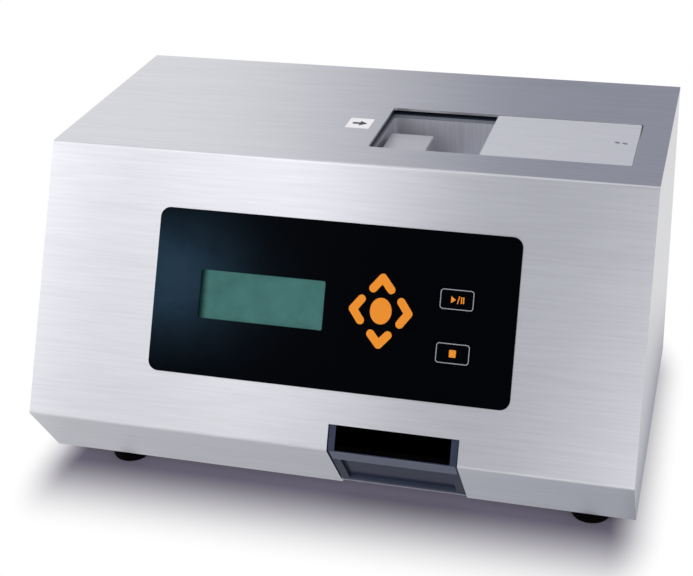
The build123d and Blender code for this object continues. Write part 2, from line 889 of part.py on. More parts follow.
def make_lead_screw():
    """A screw with a ring groove at each pitch, and a journal at each end."""
    start = left_block_right
    end = right_block_left
    root = screw_radius - screw_thread_depth
    flank = (screw_pitch - screw_thread_crest) / 2
    points = [(start, 0), (start, root)]
    for i in range(int((end - start) / screw_pitch)):
        x = start + i * screw_pitch
        points += [(x + flank, screw_radius), (x + flank + screw_thread_crest, screw_radius),
                   (x + screw_pitch, root)]
    if points[-1][0] < end:
        points.append((end, root))
    points.append((end, 0))
    thread = revolve(Plane.XZ * make_face(Polyline(*points, close=True)), Axis.X)
    thread = Pos(0, test_axis, z_screw) * thread
    left_journal = rod_x(left_block_left - journal_reach, start, test_axis, z_screw, journal_radius)
    right_journal = rod_x(end, end + bearing_width, test_axis, z_screw, journal_radius)
    return thread + left_journal + right_journal


def make_coupling():
    """A clamp coupling with a saw cut across each hub."""
    middle = (coupling_left + coupling_right) / 2
    body = rod_x(coupling_left, coupling_right, test_axis, z_screw, coupling_radius)
    body -= rod_x(coupling_left, middle, test_axis, z_screw, motor_shaft_radius + press_clearance)
    body -= rod_x(middle, coupling_right, test_axis, z_screw, journal_radius + press_clearance)
    for x in (coupling_left + coupling_length / 4, coupling_right - coupling_length / 4):
        body -= block(x - coupling_saw_cut / 2, x + coupling_saw_cut / 2, test_axis - coupling_radius,
                      test_axis + coupling_radius, z_screw + coupling_radius / 2, z_screw + coupling_radius)
    return body


def make_motor():
    """A square stepper with end caps and a round boss."""
    half = motor_size / 2
    side = RectangleRounded(motor_size, motor_size, motor_corner)
    body = Pos(motor_back, test_axis, z_screw) * Rot(0, 90, 0) * extrude(side, motor_length)
    for z in (z_screw - half, z_screw + half):
        body -= block(motor_back + motor_cap, motor_front - motor_cap, test_axis - half, test_axis + half,
                      z - motor_groove, z + motor_groove)
    for y in (test_axis - half, test_axis + half):
        body -= block(motor_back + motor_cap, motor_front - motor_cap, y - motor_groove, y + motor_groove,
                      z_screw - half, z_screw + half)
    body += rod_x(motor_front, motor_front + motor_boss, test_axis, z_screw, motor_boss_radius)
    return body - rod_x(motor_front - motor_shaft_depth, motor_front + motor_boss, test_axis, z_screw,
                        motor_shaft_radius + running_clearance)


def make_motor_shaft():
    middle = (coupling_left + coupling_right) / 2
    return rod_x(motor_front - motor_shaft_depth + seam, middle, test_axis, z_screw, motor_shaft_radius)


def make_motor_bracket():
    """An angle with a hole for the motor's boss."""
    half = motor_size / 2 + motor_plate
    top = z_screw + motor_size / 2
    upright = block(motor_front, motor_plate_right, test_axis - half, test_axis + half, z_plate, top)
    foot = block(motor_plate_right, motor_plate_right + motor_foot_length, test_axis - half,
                 test_axis + half, z_plate, z_plate + motor_plate)
    hole = rod_x(motor_front, motor_plate_right, test_axis, z_screw, motor_boss_radius + hole_clearance)
    return upright + foot - hole


def make_carriage():
    """The block that rides on the guide rods and carries nut and ram."""
    body = drive_section(carriage_left, carriage_right, z_screw - carriage_under)
    for side in (-1, 1):
        body -= rod_x(carriage_left, carriage_right, test_axis + side * guide_spread, z_guide,
                      guide_bush_radius + press_clearance)
    return body - rod_x(carriage_left, carriage_right, test_axis, z_screw, nut_radius + press_clearance)


def make_carriage_bushes():
    return [tube_x(carriage_left, carriage_right, test_axis + side * guide_spread, z_guide,
                   guide_bush_radius, guide_radius + running_clearance)
            for side in (-1, 1)]


def make_lead_nut():
    return tube_x(carriage_left, carriage_right, test_axis, z_screw, nut_radius,
                  screw_radius + running_clearance)


def make_ram():
    return rod_x(carriage_right, jaw_back, test_axis, z_jaw, ram_radius)


def make_ram_bush():
    return tube_x(right_block_left, right_block_right, test_axis, z_jaw, ram_radius + ram_bush_wall,
                  ram_radius + running_clearance)


def make_bed_posts():
    return [rod_z(x, y, z_plate, z_well_bottom, bed_post_radius) for x, y in bed_posts]


# ---- load cell ----
def make_load_cell():
    """An upright bending bar with two joined holes through its middle."""
    half = cell_side / 2
    bar = block(cell_left, cell_right, test_axis - half, test_axis + half, z_cell_bottom, z_cell_top)
    centre_x = (cell_left + cell_right) / 2
    centre_z = z_cell_bottom + cell_bracket_height + (cell_length - cell_bracket_height) / 3
    for side in (-1, 1):
        hole = Rot(90, 0, 0) * Cylinder(cell_hole_radius, 2 * cell_side)
        bar -= Pos(centre_x, test_axis, centre_z + side * cell_hole_spread / 2) * hole
    return bar - block(centre_x - cell_slot / 2, centre_x + cell_slot / 2, test_axis - half, test_axis + half,
                       centre_z - cell_hole_spread, centre_z + cell_hole_spread)


def make_cell_bracket():
    """An angle on the drive plate that the lower half of the bar is bolted to."""
    half = cell_bracket_half_width
    upright = block(cell_right, cell_right + cell_bracket_plate, test_axis - half, test_axis + half,
                    z_plate, z_cell_bottom + cell_bracket_height)
    foot = block(cell_right, cell_foot_right, test_axis - half, test_axis + half,
                 z_plate, z_plate + cell_bracket_plate)
    return upright + foot


# ---- debris path ----
def make_chute():
    """A square duct from the slot of the well down to the tray."""
    wall = chute_wall
    duct = block(slot_left - wall, slot_right + wall, opening_front - wall, slot_back + wall,
                 z_tray_top + chute_over_tray, z_well_bottom)
    rim = wall + chute_flange
    duct += block(slot_left - rim, slot_right + rim, opening_front - rim, slot_back + rim,
                  z_plate, z_plate + wall)
    return duct - block(slot_left, slot_right, opening_front, slot_back, z_tray_bottom, z_well_bottom)


def make_tray():
    """A scoop whose front follows the case, open above its low lip."""
    past = case_height
    body = prism(profile(front=tray_setback, chamfer=tray_setback, bottom=z_tray_bottom - z_sole),
                 tray_left, tray_right)
    body &= block(tray_left, tray_right, y_nose, tray_back, z_tray_bottom, z_tray_top)
    inner_left = tray_left + tray_wall
    inner_right = tray_right - tray_wall
    front_wall = tray_setback + tray_front
    hollow = prism(profile(front=front_wall, chamfer=front_wall, bottom=z_tray_bottom + tray_floor - z_sole),
                   inner_left, inner_right)
    hollow &= block(inner_left, inner_right, y_nose, tray_inner_back, z_tray_bottom, z_top)
    body -= hollow
    z_lip = z_nose - tray_lip_drop
    body -= block(inner_left, inner_right, y_nose - past, tray_inner_back, z_lip, z_top)
    panel_middle = tray_panel_top + tray_panel_height / 2
    panel = Box(inner_right - inner_left - 2 * (tray_panel_inset - tray_wall), 2 * tray_panel_recess,
                tray_panel_height)
    y = y_nose + panel_middle * math.sin(chamfer_lean) + tray_setback * math.cos(chamfer_lean)
    z = z_nose - panel_middle * math.cos(chamfer_lean) + tray_setback * math.sin(chamfer_lean)
    return body - Pos((tray_left + tray_right) / 2, y, z) * Rot(math.degrees(chamfer_lean), 0, 0) * panel


def make_tray_guides():
    """Walls beside the tray and the stop behind it."""
    outer = guide_wall + tray_gap
    front = y_sole + guide_front_gap
    stop = tray_back + guide_stop_gap
    guides = block(tray_left - outer, tray_right + outer, front, stop + guide_wall,
                   z_base, z_base + guide_height)
    return guides - block(tray_left - tray_gap, tray_right + tray_gap, front, stop, z_base,
                          z_base + guide_height)


# ---- electrics ----
def make_control_board():
    """The main board with chips and connectors."""
    z = z_base + control_lift
    right = control_left + control_width
    back = control_front + control_depth
    plate = block(control_left, right, control_front, back, z, z + board)
    for x, y in control_corners():
        plate -= rod_z(x, y, z, z + board, m3_radius)
    top = z + board
    middle = (control_front + back) / 2
    for x in spread(control_left + 2 * chip_size, right - 2 * chip_size, 3):
        plate += block(x - chip_size / 2, x + chip_size / 2, middle - chip_size / 2, middle + chip_size / 2,
                       top, top + chip_height)
        plate += block(x - connector_width / 2, x + connector_width / 2, back - 2 * connector_depth,
                       back - connector_depth, top, top + connector_height)
    return plate


def make_power_supply():
    """A folded cage with slots over its heat sink."""
    right = supply_left + supply_width
    back = supply_front + supply_depth
    z_cage = z_base + supply_height
    cage = block(supply_left, right, supply_front, back, z_base, z_cage)
    wall = supply_sheet
    cage -= block(supply_left + wall, right - wall, supply_front + wall, back - wall, z_base + wall,
                  z_cage - wall)
    for x in spread(supply_left + vent_pitch, right - vent_pitch, vent_count):
        cage -= block(x - vent_width / 2, x + vent_width / 2, supply_front + vent_pitch, back - vent_pitch,
                      z_cage - wall, z_cage)
    return cage


def rear_block(x, width, height, y1, y2):
    return block(x - width / 2, x + width / 2, y1, y2, z_rear_ports - height / 2, z_rear_ports + height / 2)


def make_inlet():
    """An appliance inlet with three blades in its socket."""
    body = rear_block(inlet_x, inlet_body_width, inlet_body_height, rear_outer - inlet_body_depth,
                      rear_outer)
    body += rear_block(inlet_x, inlet_flange_width, inlet_flange_height, rear_outer,
                       rear_outer + inlet_flange)
    mouth = rear_outer + inlet_flange
    floor = mouth - inlet_cavity_depth
    body -= rear_block(inlet_x, inlet_cavity_width, inlet_cavity_height, floor, mouth)
    for i in (-1, 0, 1):
        x = inlet_x + i * inlet_pin_spacing
        z = z_rear_ports + (inlet_pin_height / 2 if i == 0 else -inlet_pin_height / 4)
        body += block(x - inlet_pin_width / 2, x + inlet_pin_width / 2, floor, floor + inlet_pin_length,
                      z - inlet_pin_height / 2, z + inlet_pin_height / 2)
    return body


rocker_width = switch_frame_height - 2 * switch_frame_border - 2 * rocker_gap
rocker_face = rocker_depth + rocker_proud
rocker_room = switch_frame_width / 2 - switch_frame_border - rocker_gap
rocker_half = ((rocker_room - rocker_face * math.sin(math.radians(rocker_tilt)))
               / math.cos(math.radians(rocker_tilt)))
rocker_pivot_y = rear_outer + switch_frame_flange - rocker_depth


def make_switch_frame():
    """The bezel and well that the rocker sits in."""
    border = 2 * switch_frame_border
    body = rear_block(rocker_x, switch_frame_height, switch_frame_width, rear_outer,
                      rear_outer + switch_frame_flange)
    body += rear_block(rocker_x, switch_frame_height - switch_frame_border,
                       switch_frame_width - switch_frame_border, rear_outer - switch_frame_depth, rear_outer)
    floor = rear_outer - switch_frame_depth + switch_frame_border
    body -= rear_block(rocker_x, switch_frame_height - border, switch_frame_width - border,
                       floor, rear_outer + switch_frame_flange)
    return body - rod_x(rocker_x - switch_frame_height / 2 + switch_frame_border / 4,
                        rocker_x + switch_frame_height / 2 - switch_frame_border / 4,
                        rocker_pivot_y, z_rear_ports, rocker_pin_radius + running_clearance)


def make_rocker():
    """A rocker with two flats that meet over its pin, tipped to its off side."""
    half = rocker_half
    dip = half * math.tan(math.radians(rocker_tilt))
    root = half * rocker_root_share
    points = [(0, -root), (rocker_face, -half), (rocker_face - dip, 0), (rocker_face, half), (0, root)]
    outline = make_face(Polyline(*points, close=True))
    body = Pos(-rocker_width / 2, 0, 0) * extrude(Plane.YZ * outline, rocker_width, dir=(1, 0, 0))
    pin_reach = rocker_width / 2 + rocker_gap + switch_frame_border / 4
    body += rod_x(-pin_reach, pin_reach, 0, 0, rocker_pin_radius)
    return Pos(rocker_x, rocker_pivot_y, z_rear_ports) * Rot(-rocker_tilt, 0, 0) * body


def make_serial_port():
    """A small D-shaped connector with its metal flange."""
    body = rear_block(port_x, port_flange_width, port_flange_height, rear_outer, rear_outer + port_flange)
    body += rear_block(port_x, port_shell_width, port_shell_height, rear_outer - port_body_depth,
                       rear_outer + port_shell_out)
    wall = 2 * port_flange
    return body - rear_block(port_x, port_shell_width - wall, port_shell_height - wall, rear_outer,
                             rear_outer + port_shell_out)


def make_ribbon():
    """The flat cable from the key board down to the control board."""
    left, right, high, low = key_board_box()
    start = on_face(0, low - 2 * standoff_inset, -key_board_depth - board).position
    first = start + face_in * ribbon_reach
    z_end = z_base + control_lift + board
    y_end = control_front + 2 * connector_depth
    last = Vector(0, y_end, z_end)
    over = last + Vector(0, 0, ribbon_rise)
    path = FilletPolyline((start.Y, start.Z), (first.Y, first.Z), (over.Y, over.Z), (last.Y, last.Z),
                          radius=ribbon_bend)
    strip = trace(path, line_width=ribbon_thickness)
    x = control_left + control_width - ribbon_width
    return Pos(x, 0, 0) * extrude(Plane.YZ * strip, ribbon_width, dir=(1, 0, 0))


# ---- label ----
def make_label():
    x = opening_left - label_from_opening
    y = y_edge + label_setback
    return block(x - label_width / 2, x + label_width / 2, y - label_depth / 2,
                 y + label_depth / 2, z_top, z_top + label_film)


# ---- all sub-parts ----
parts = {
    "cover": make_cover(),
    "left_side_panel": make_side_panel(-1),
    "right_side_panel": make_side_panel(1),
    "base_plate": make_base_plate(),
    "rear_panel": make_rear_panel(),
    "feet": make_feet(),
    "large_screws": make_large_screws(),
    "small_screws": make_small_screws(),
    "keypad_overlay": make_overlay(),
    "key_board": make_key_board(),
    "tact_switches": make_tact_switches(),
    "display_window": make_display_window(),
    "display_glass": make_display_glass(),
    "display_frame": make_display_frame(),
    "display_board": make_display_board(),
    "board_standoffs": make_board_standoffs(),
    "slide_lid": make_lid(),
    "lid_frame": make_lid_frame(),
    "inner_deck": make_inner_deck(),
    "test_bed": make_test_bed(),
    "bed_posts": make_bed_posts(),
    "moving_jaw": make_moving_jaw(),
    "anvil": make_anvil(),
    "drive_plate": make_drive_plate(),
    "drive_pillars": make_drive_pillars(),
    "left_bearing_block": make_left_block(),
    "right_bearing_block": make_right_block(),
    "screw_bearings": make_screw_bearings(),
    "guide_rods": make_guide_rods(),
    "lead_screw": make_lead_screw(),
    "shaft_coupling": make_coupling(),
    "stepper_motor": make_motor(),
    "motor_shaft": make_motor_shaft(),
    "motor_bracket": make_motor_bracket(),
    "jaw_carriage": make_carriage(),
    "carriage_bushes": make_carriage_bushes(),
    "lead_nut": make_lead_nut(),
    "jaw_ram": make_ram(),
    "ram_bush": make_ram_bush(),
    "load_cell": make_load_cell(),
    "load_cell_bracket": make_cell_bracket(),
    "debris_chute": make_chute(),
    "debris_tray": make_tray(),
    "tray_guides": make_tray_guides(),
    "control_board": make_control_board(),
    "power_supply": make_power_supply(),
    "mains_inlet": make_inlet(),
    "power_switch_frame": make_switch_frame(),
    "power_rocker": make_rocker(),
    "serial_port": make_serial_port(),
    "keypad_ribbon": make_ribbon(),
    "arrow_label": make_label(),
}
lips = key_outlines(key_lip)
for name, (x, drop, outline) in key_outlines().items():
    parts[name] = make_key(x, drop, outline, lips[name][2])

os.makedirs("parts", exist_ok=True)
for name, shape in parts.items():
    solids = shape if isinstance(shape, list) else shape.solids()
    export_step(Compound(children=list(solids)), f"parts/{name}.step")
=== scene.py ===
import json
import math

import bmesh
import bpy
from mathutils import Matrix, Vector
from mathutils.bvhtree import BVHTree


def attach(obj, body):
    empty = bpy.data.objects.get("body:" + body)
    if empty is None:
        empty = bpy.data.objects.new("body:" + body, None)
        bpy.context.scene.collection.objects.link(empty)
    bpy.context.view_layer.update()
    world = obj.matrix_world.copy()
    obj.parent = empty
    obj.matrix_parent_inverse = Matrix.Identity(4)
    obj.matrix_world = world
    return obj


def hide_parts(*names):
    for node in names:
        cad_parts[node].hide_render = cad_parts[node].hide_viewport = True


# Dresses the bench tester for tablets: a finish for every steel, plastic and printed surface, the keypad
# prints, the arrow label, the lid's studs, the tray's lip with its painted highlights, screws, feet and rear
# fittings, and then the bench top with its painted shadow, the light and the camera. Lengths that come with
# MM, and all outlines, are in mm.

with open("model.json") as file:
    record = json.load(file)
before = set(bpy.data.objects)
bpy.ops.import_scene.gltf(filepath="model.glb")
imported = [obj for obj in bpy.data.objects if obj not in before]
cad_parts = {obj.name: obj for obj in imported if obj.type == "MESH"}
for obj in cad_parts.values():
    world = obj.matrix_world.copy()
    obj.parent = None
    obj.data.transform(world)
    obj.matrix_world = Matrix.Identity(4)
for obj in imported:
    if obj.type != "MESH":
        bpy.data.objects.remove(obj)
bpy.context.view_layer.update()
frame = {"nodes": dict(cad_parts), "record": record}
nodes = frame["nodes"]
MM = 0.001

# ---- case lines: the edge joins the top to the leaning face, and the nose joins the face to the chamfer ----
Y_EDGE, Z_TOP = -48.662, 199.0
Y_NOSE, Z_NOSE = -118.662, 49.5
FACE_DOWN = Vector((0, -70.0, -149.5)).normalized()
FACE_OUT = FACE_DOWN.cross(Vector((1, 0, 0)))
CHAMFER_DOWN = Vector((0, 31.5, -41.5)).normalized()
CHAMFER_OUT = CHAMFER_DOWN.cross(Vector((1, 0, 0)))
TRAY_SETBACK = 0.6


# ---- node graphs ----
class Graph:
    """A node tree that is filled node by node."""

    def __init__(self, tree):
        self.tree = tree

    def add(self, kind, feeds=None, **settings):
        node = self.tree.nodes.new(kind)
        for name, value in settings.items():
            setattr(node, name, value)
        for name, value in (feeds or {}).items():
            self.feed(node.inputs[name], value)
        return node

    def feed(self, socket, value):
        if isinstance(value, bpy.types.NodeSocket):
            self.tree.links.new(value, socket)
        else:
            socket.default_value = value

    def maths(self, operation, first, second=0.0, third=0.0):
        node = self.add("ShaderNodeMath", operation=operation)
        for socket, value in zip(node.inputs, (first, second, third)):
            self.feed(socket, value)
        return node.outputs[0]

    def blend(self, share, low, high):
        """A colour between two, by a share from 0 to 1."""
        node = self.add("ShaderNodeMix", data_type="RGBA")
        for socket, value in zip((node.inputs[0], node.inputs[6], node.inputs[7]), (share, low, high)):
            self.feed(socket, value)
        return node.outputs[2]

    def spread(self, value, low, high):
        """A value from 0 to 1 laid out between low and high."""
        node = self.add("ShaderNodeMapRange", {"Value": value, "To Min": low, "To Max": high})
        return node.outputs[0]

    def rise(self, value, low, high, shape="LINEAR"):
        """A share that goes from 0, at low, to 1, at high."""
        node = self.add("ShaderNodeMapRange", {"Value": value, "From Min": low, "From Max": high},
                        interpolation_type=shape)
        return node.outputs[0]


def shader_group(name, inputs, outputs):
    """An empty shader group with its sockets, and the two ends to join them to."""
    tree = bpy.data.node_groups.new(name, "ShaderNodeTree")
    for label, kind, start in inputs:
        socket = tree.interface.new_socket(label, in_out="INPUT", socket_type=kind)
        if start is not None:
            socket.default_value = start
    for label, kind in outputs:
        tree.interface.new_socket(label, in_out="OUTPUT", socket_type=kind)
    graph = Graph(tree)
    return graph, graph.add("NodeGroupInput"), graph.add("NodeGroupOutput")


FLOAT, VECTOR = "NodeSocketFloat", "NodeSocketVector"


BANDS_PER_MARK = 0.16


def brush_marks():
    """Long thin marks that run along the first axis of the place they are given."""
    graph, given, made = shader_group(
        "brush marks",
        [("Place", VECTOR, None), ("Marks per metre", FLOAT, 900.0), ("Length share", FLOAT, 0.02)],
        [("Marks", FLOAT), ("Bands", FLOAT)])
    axes = graph.add("ShaderNodeSeparateXYZ", {0: given.outputs["Place"]})
    along = graph.maths("MULTIPLY", axes.outputs[0], given.outputs["Length share"])
    stretched = graph.add("ShaderNodeCombineXYZ", {0: along, 1: axes.outputs[1], 2: axes.outputs[2]})
    marks = graph.add("ShaderNodeTexNoise", {
        "Vector": stretched.outputs[0], "Scale": given.outputs["Marks per metre"],
        "Detail": 1.0, "Roughness": 0.5})
    coarse = graph.maths("MULTIPLY", given.outputs["Marks per metre"], BANDS_PER_MARK)
    bands = graph.add("ShaderNodeTexNoise", {
        "Vector": stretched.outputs[0], "Scale": coarse, "Detail": 2.0, "Roughness": 0.5})
    graph.feed(made.inputs["Marks"], marks.outputs[0])
    graph.feed(made.inputs["Bands"], bands.outputs[0])
    return graph.tree


def handling():
    """Cloudy patches, as wiping and fingers leave."""
    graph, given, made = shader_group(
        "handling", [("Place", VECTOR, None), ("Patches per metre", FLOAT, 18.0)], [("Patches", FLOAT)])
    clouds = graph.add("ShaderNodeTexNoise", {
        "Vector": given.outputs["Place"], "Scale": given.outputs["Patches per metre"],
        "Detail": 4.0, "Roughness": 0.6, "Distortion": 0.4})
    graph.feed(made.inputs["Patches"], graph.spread(clouds.outputs[0], 0.0, 1.0))
    return graph.tree


def fine_skin():
    """The fine bumps of moulded plastic, rubber and machined faces."""
    graph, given, made = shader_group(
        "fine skin", [("Place", VECTOR, None), ("Grains per metre", FLOAT, 2500.0)], [("Height", FLOAT)])
    grains = graph.add("ShaderNodeTexNoise", {
        "Vector": given.outputs["Place"], "Scale": given.outputs["Grains per metre"], "Detail": 2.0})
    graph.feed(made.inputs["Height"], grains.outputs[0])
    return graph.tree


BRUSH_MARKS = brush_marks()
HANDLING = handling()
FINE_SKIN = fine_skin()


class Finish(Graph):
    """A material with its shader, its place on the object and a few shared effects."""

    def __init__(self, name, colour, roughness, metallic=0.0, **shader):
        self.material = bpy.data.materials.new(name)
        self.material.use_nodes = True
        super().__init__(self.material.node_tree)
        self.shader = self.tree.nodes["Principled BSDF"]
        self.colour = (*colour, 1.0)
        self.roughness = roughness
        self.shader.inputs["Base Color"].default_value = self.colour
        self.shader.inputs["Roughness"].default_value = roughness
        self.shader.inputs["Metallic"].default_value = metallic
        for label, value in shader.items():
            self.shader.inputs[label.replace("_", " ")].default_value = value
        self.place = self.add("ShaderNodeTexCoord").outputs["Object"]

    def group(self, tree, **feeds):
        node = self.add("ShaderNodeGroup", node_tree=tree)
        for label, value in feeds.items():
            self.feed(node.inputs[label.replace("_", " ")], value)
        return node

    def wiped(self, patches):
        """The cloudy patches of handling, as a share, so many to the metre."""
        return self.group(HANDLING, Place=self.place, Patches_per_metre=patches).outputs["Patches"]

    def tint(self, share, amount):
        """Lets the colour swing by an amount, from darker to lighter."""
        dark = (*(c * (1 - amount) for c in self.colour[:3]), 1.0)
        light = (*(min(1.0, c * (1 + amount)) for c in self.colour[:3]), 1.0)
        self.feed(self.shader.inputs["Base Color"], self.blend(share, dark, light))

    def paint_over(self, share, colour):
        """Lays a second colour over the one that is there, by a share from 0 to 1."""
        base = self.shader.inputs["Base Color"]
        below = base.links[0].from_socket if base.links else self.colour
        self.feed(base, self.blend(share, below, (*colour, 1.0)))

    def vary_gloss(self, share, amount):
        low, high = self.roughness - amount, self.roughness + amount
        self.feed(self.shader.inputs["Roughness"], self.spread(share, low, high))

    def emboss(self, height, depth, strength):
        bump = self.add("ShaderNodeBump", {"Height": height, "Distance": depth, "Strength": strength})
        self.feed(self.shader.inputs["Normal"], bump.outputs[0])

    def turned(self, angles):
        node = self.add("ShaderNodeMapping", {"Vector": self.place, "Rotation": angles})
        return node.outputs[0]


# ---- kinds of finish; depths of bumps are in metres ----
FRONT_TO_BACK = (0.0, 0.0, math.radians(90))
UPWARDS = (0.0, math.radians(90), 0.0)
MARKS_IN_STEEL, WIPES_IN_GLOSS = 0.7, 0.35
CUTTER_DEPTH, SKIN_DEPTH, WAVE_DEPTH = 0.00002, 0.00003, 0.00008


def brushed_steel(name, colour, roughness, along=None, marks=620.0, length=0.045, tint=0.12, sheen=0.82,
                  spin_axis="X", metallic=1.0):
    """Steel with a one-way brushed grain, wiped clean."""
    finish = Finish(name, colour, roughness, metallic, Anisotropic=sheen)
    place = finish.turned(along) if along else finish.place
    brush = finish.group(BRUSH_MARKS, Place=place, Marks_per_metre=marks, Length_share=length)
    share = finish.maths("MULTIPLY", brush.outputs["Bands"], 1 - MARKS_IN_STEEL)
    share = finish.maths("MULTIPLY_ADD", brush.outputs["Marks"], MARKS_IN_STEEL, share)
    finish.tint(share, tint)
    gloss = finish.maths("MULTIPLY", share, 1 - WIPES_IN_GLOSS)
    finish.vary_gloss(finish.maths("MULTIPLY_ADD", finish.wiped(18.0), WIPES_IN_GLOSS, gloss), 0.015)
    tangent = finish.add("ShaderNodeTangent", direction_type="RADIAL", axis=spin_axis)
    finish.feed(finish.shader.inputs["Tangent"], tangent.outputs[0])
    return finish.material


def machined_metal(name, colour, roughness, marks=1400.0):
    """A turned or milled metal with fine cutter marks."""
    finish = Finish(name, colour, roughness, metallic=1.0)
    brush = finish.group(BRUSH_MARKS, Place=finish.place, Marks_per_metre=marks, Length_share=0.08)
    finish.tint(brush.outputs["Bands"], 0.05)
    finish.vary_gloss(finish.wiped(40.0), 0.06)
    finish.emboss(brush.outputs["Marks"], CUTTER_DEPTH, 0.3)
    return finish.material


def moulded_plastic(name, colour, roughness, depth=SKIN_DEPTH, **shader):
    """Plastic or rubber with a fine moulded skin and a little handling on it."""
    finish = Finish(name, colour, roughness, **shader)
    grain = finish.group(FINE_SKIN, Place=finish.place, Grains_per_metre=2500.0)
    wiped = finish.wiped(30.0)
    finish.tint(wiped, 0.12)
    finish.vary_gloss(wiped, 0.06)
    finish.emboss(grain.outputs["Height"], depth, 0.4)
    return finish.material


def film_surface(finish, wiped):
    """The uneven gloss of a film, where it was wiped, and its faint waves."""
    waves = finish.group(FINE_SKIN, Place=finish.place, Grains_per_metre=60.0)
    finish.vary_gloss(wiped, 0.04)
    finish.emboss(waves.outputs["Height"], WAVE_DEPTH, 0.25)


def gloss_film(name, colour, roughness, **shader):
    """Printed polyester film: glossy, faintly uneven, with light wipe marks."""
    finish = Finish(name, colour, roughness, **shader)
    wiped = finish.wiped(14.0)
    finish.tint(wiped, 0.10)
    film_surface(finish, wiped)
    return finish.material


# How the painted reflection lies on the keypad film, in metres: its middle, how fast it falls along each
# axis, and the share of it that is left one such step away.
REFLECTION_MIDDLE = (-0.098, 0.0, 0.132)
REFLECTION_FALL = (25.0, 0.0, 35.0)
REFLECTION_LEFT = 0.368


def film_with_painted_reflection(name, colour, painted_reflection):
    """Black film with a patchy cool painted reflection that gathers at its left end."""
    finish = Finish(name, colour, 0.12, Specular_IOR_Level=0.008)
    wiped = finish.wiped(45.0)
    from_middle = finish.add("ShaderNodeVectorMath", {0: finish.place, 1: REFLECTION_MIDDLE}, operation="SUBTRACT")
    scaled = finish.add("ShaderNodeVectorMath", {0: from_middle.outputs[0], 1: REFLECTION_FALL},
                        operation="MULTIPLY")
    away = finish.add("ShaderNodeVectorMath", {0: scaled.outputs[0], 1: scaled.outputs[0]},
                      operation="DOT_PRODUCT")
    share = finish.maths("POWER", REFLECTION_LEFT, away.outputs["Value"])
    share = finish.maths("MULTIPLY", share, finish.spread(wiped, 0.45, 1.55))
    # Paints the cool reflection over the film, strongest at its left end.
    finish.paint_over(share, painted_reflection)
    film_surface(finish, wiped)
    return finish.material


# The painted shade inside the tray, in mm: the middle and half width of what lies between its side walls, how
# far behind the chamfer it starts, its back and its floor. On top of the front wall it starts nearer.
SCOOP_MIDDLE, SCOOP_HALF = 44.0, 33.6
SCOOP_FRONT, SCOOP_BACK, SCOOP_FLOOR = 4.5, -1.4, 13.2
RIM_FRONT, RIM_Z = 1.4, 48.9


def scoop_with_painted_shade(name, colour, inside):
    """Slate plastic with a near-black painted shade on the inside and on top of the front wall; the side rims
    stay slate.
    """
    finish = Finish(name, colour, 0.2, Specular_IOR_Level=0.03)
    wiped = finish.wiped(60.0)
    finish.tint(wiped, 0.35)
    across, along, height = finish.add("ShaderNodeSeparateXYZ", {0: finish.place}).outputs
    inward = -CHAMFER_OUT
    slant = finish.maths("MULTIPLY_ADD", height, inward.z, finish.maths("MULTIPLY", along, inward.y))
    depth = finish.maths("SUBTRACT", slant, Vector((0, Y_NOSE, Z_NOSE)).dot(inward) * MM)
    front_rim = finish.maths("MULTIPLY", finish.maths("GREATER_THAN", depth, RIM_FRONT * MM),
                             finish.maths("GREATER_THAN", height, RIM_Z * MM))
    behind = finish.maths("MAXIMUM", finish.maths("GREATER_THAN", depth, SCOOP_FRONT * MM), front_rim)
    above = finish.maths("MULTIPLY", finish.maths("LESS_THAN", along, SCOOP_BACK * MM),
                         finish.maths("GREATER_THAN", height, SCOOP_FLOOR * MM))
    between = finish.maths("COMPARE", across, SCOOP_MIDDLE * MM, SCOOP_HALF * MM)
    # Paints the near-black shade over the tray's inside and the top of its front wall.
    finish.paint_over(finish.maths("MULTIPLY", behind, finish.maths("MULTIPLY", above, between)), inside)
    finish.vary_gloss(wiped, 0.05)
    return finish.material


PAINTED_SHADE_LEFT, PAINTED_SHADE_RIGHT = -78.9, -73.5


def glowing_display_with_painted_shade(name, colour, dark):
    """Display glass that glows in its own colour as painted light, with a painted shade of the window's rim
    along its left end.

    It has no gloss of its own, which would show as grain through the window.
    """
    finish = Finish(name, colour, 0.25, Specular_IOR_Level=0.0, Emission_Strength=1.95)
    wiped = finish.wiped(70.0)
    across = finish.add("ShaderNodeSeparateXYZ", {0: finish.place}).outputs[0]
    lit = finish.rise(across, PAINTED_SHADE_LEFT * MM, PAINTED_SHADE_RIGHT * MM, "SMOOTHSTEP")
    finish.tint(wiped, 0.3)
    # Paints a darker shade along the left end, where the window's rim shades the display.
    finish.paint_over(finish.maths("SUBTRACT", 1.0, lit), dark)
    # The shown colour, its painted shade included, glows as painted light in place of most of the light that
    # reaches it through the window.
    shown = finish.shader.inputs["Base Color"].links[0].from_socket
    finish.feed(finish.shader.inputs["Emission Color"], shown)
    finish.vary_gloss(wiped, 0.04)
    return finish.material


SHADE_STRIP_BLEND = 0.3


def runner_with_painted_shade(name, colour, painted_strip_shade, height):
    """Grey runner plastic with a dark painted shade along its top, above a height in mm, for the shadow under
    the top sheet's edge.
    """
    finish = Finish(name, colour, 0.45, Specular_IOR_Level=0.2)
    wiped = finish.wiped(30.0)
    upward = finish.add("ShaderNodeSeparateXYZ", {0: finish.place}).outputs[2]
    finish.tint(wiped, 0.12)
    # Paints the dark shade over the runner's top.
    finish.paint_over(finish.rise(upward, (height - SHADE_STRIP_BLEND) * MM, (height + SHADE_STRIP_BLEND) * MM), painted_strip_shade)
    finish.vary_gloss(wiped, 0.06)
    return finish.material


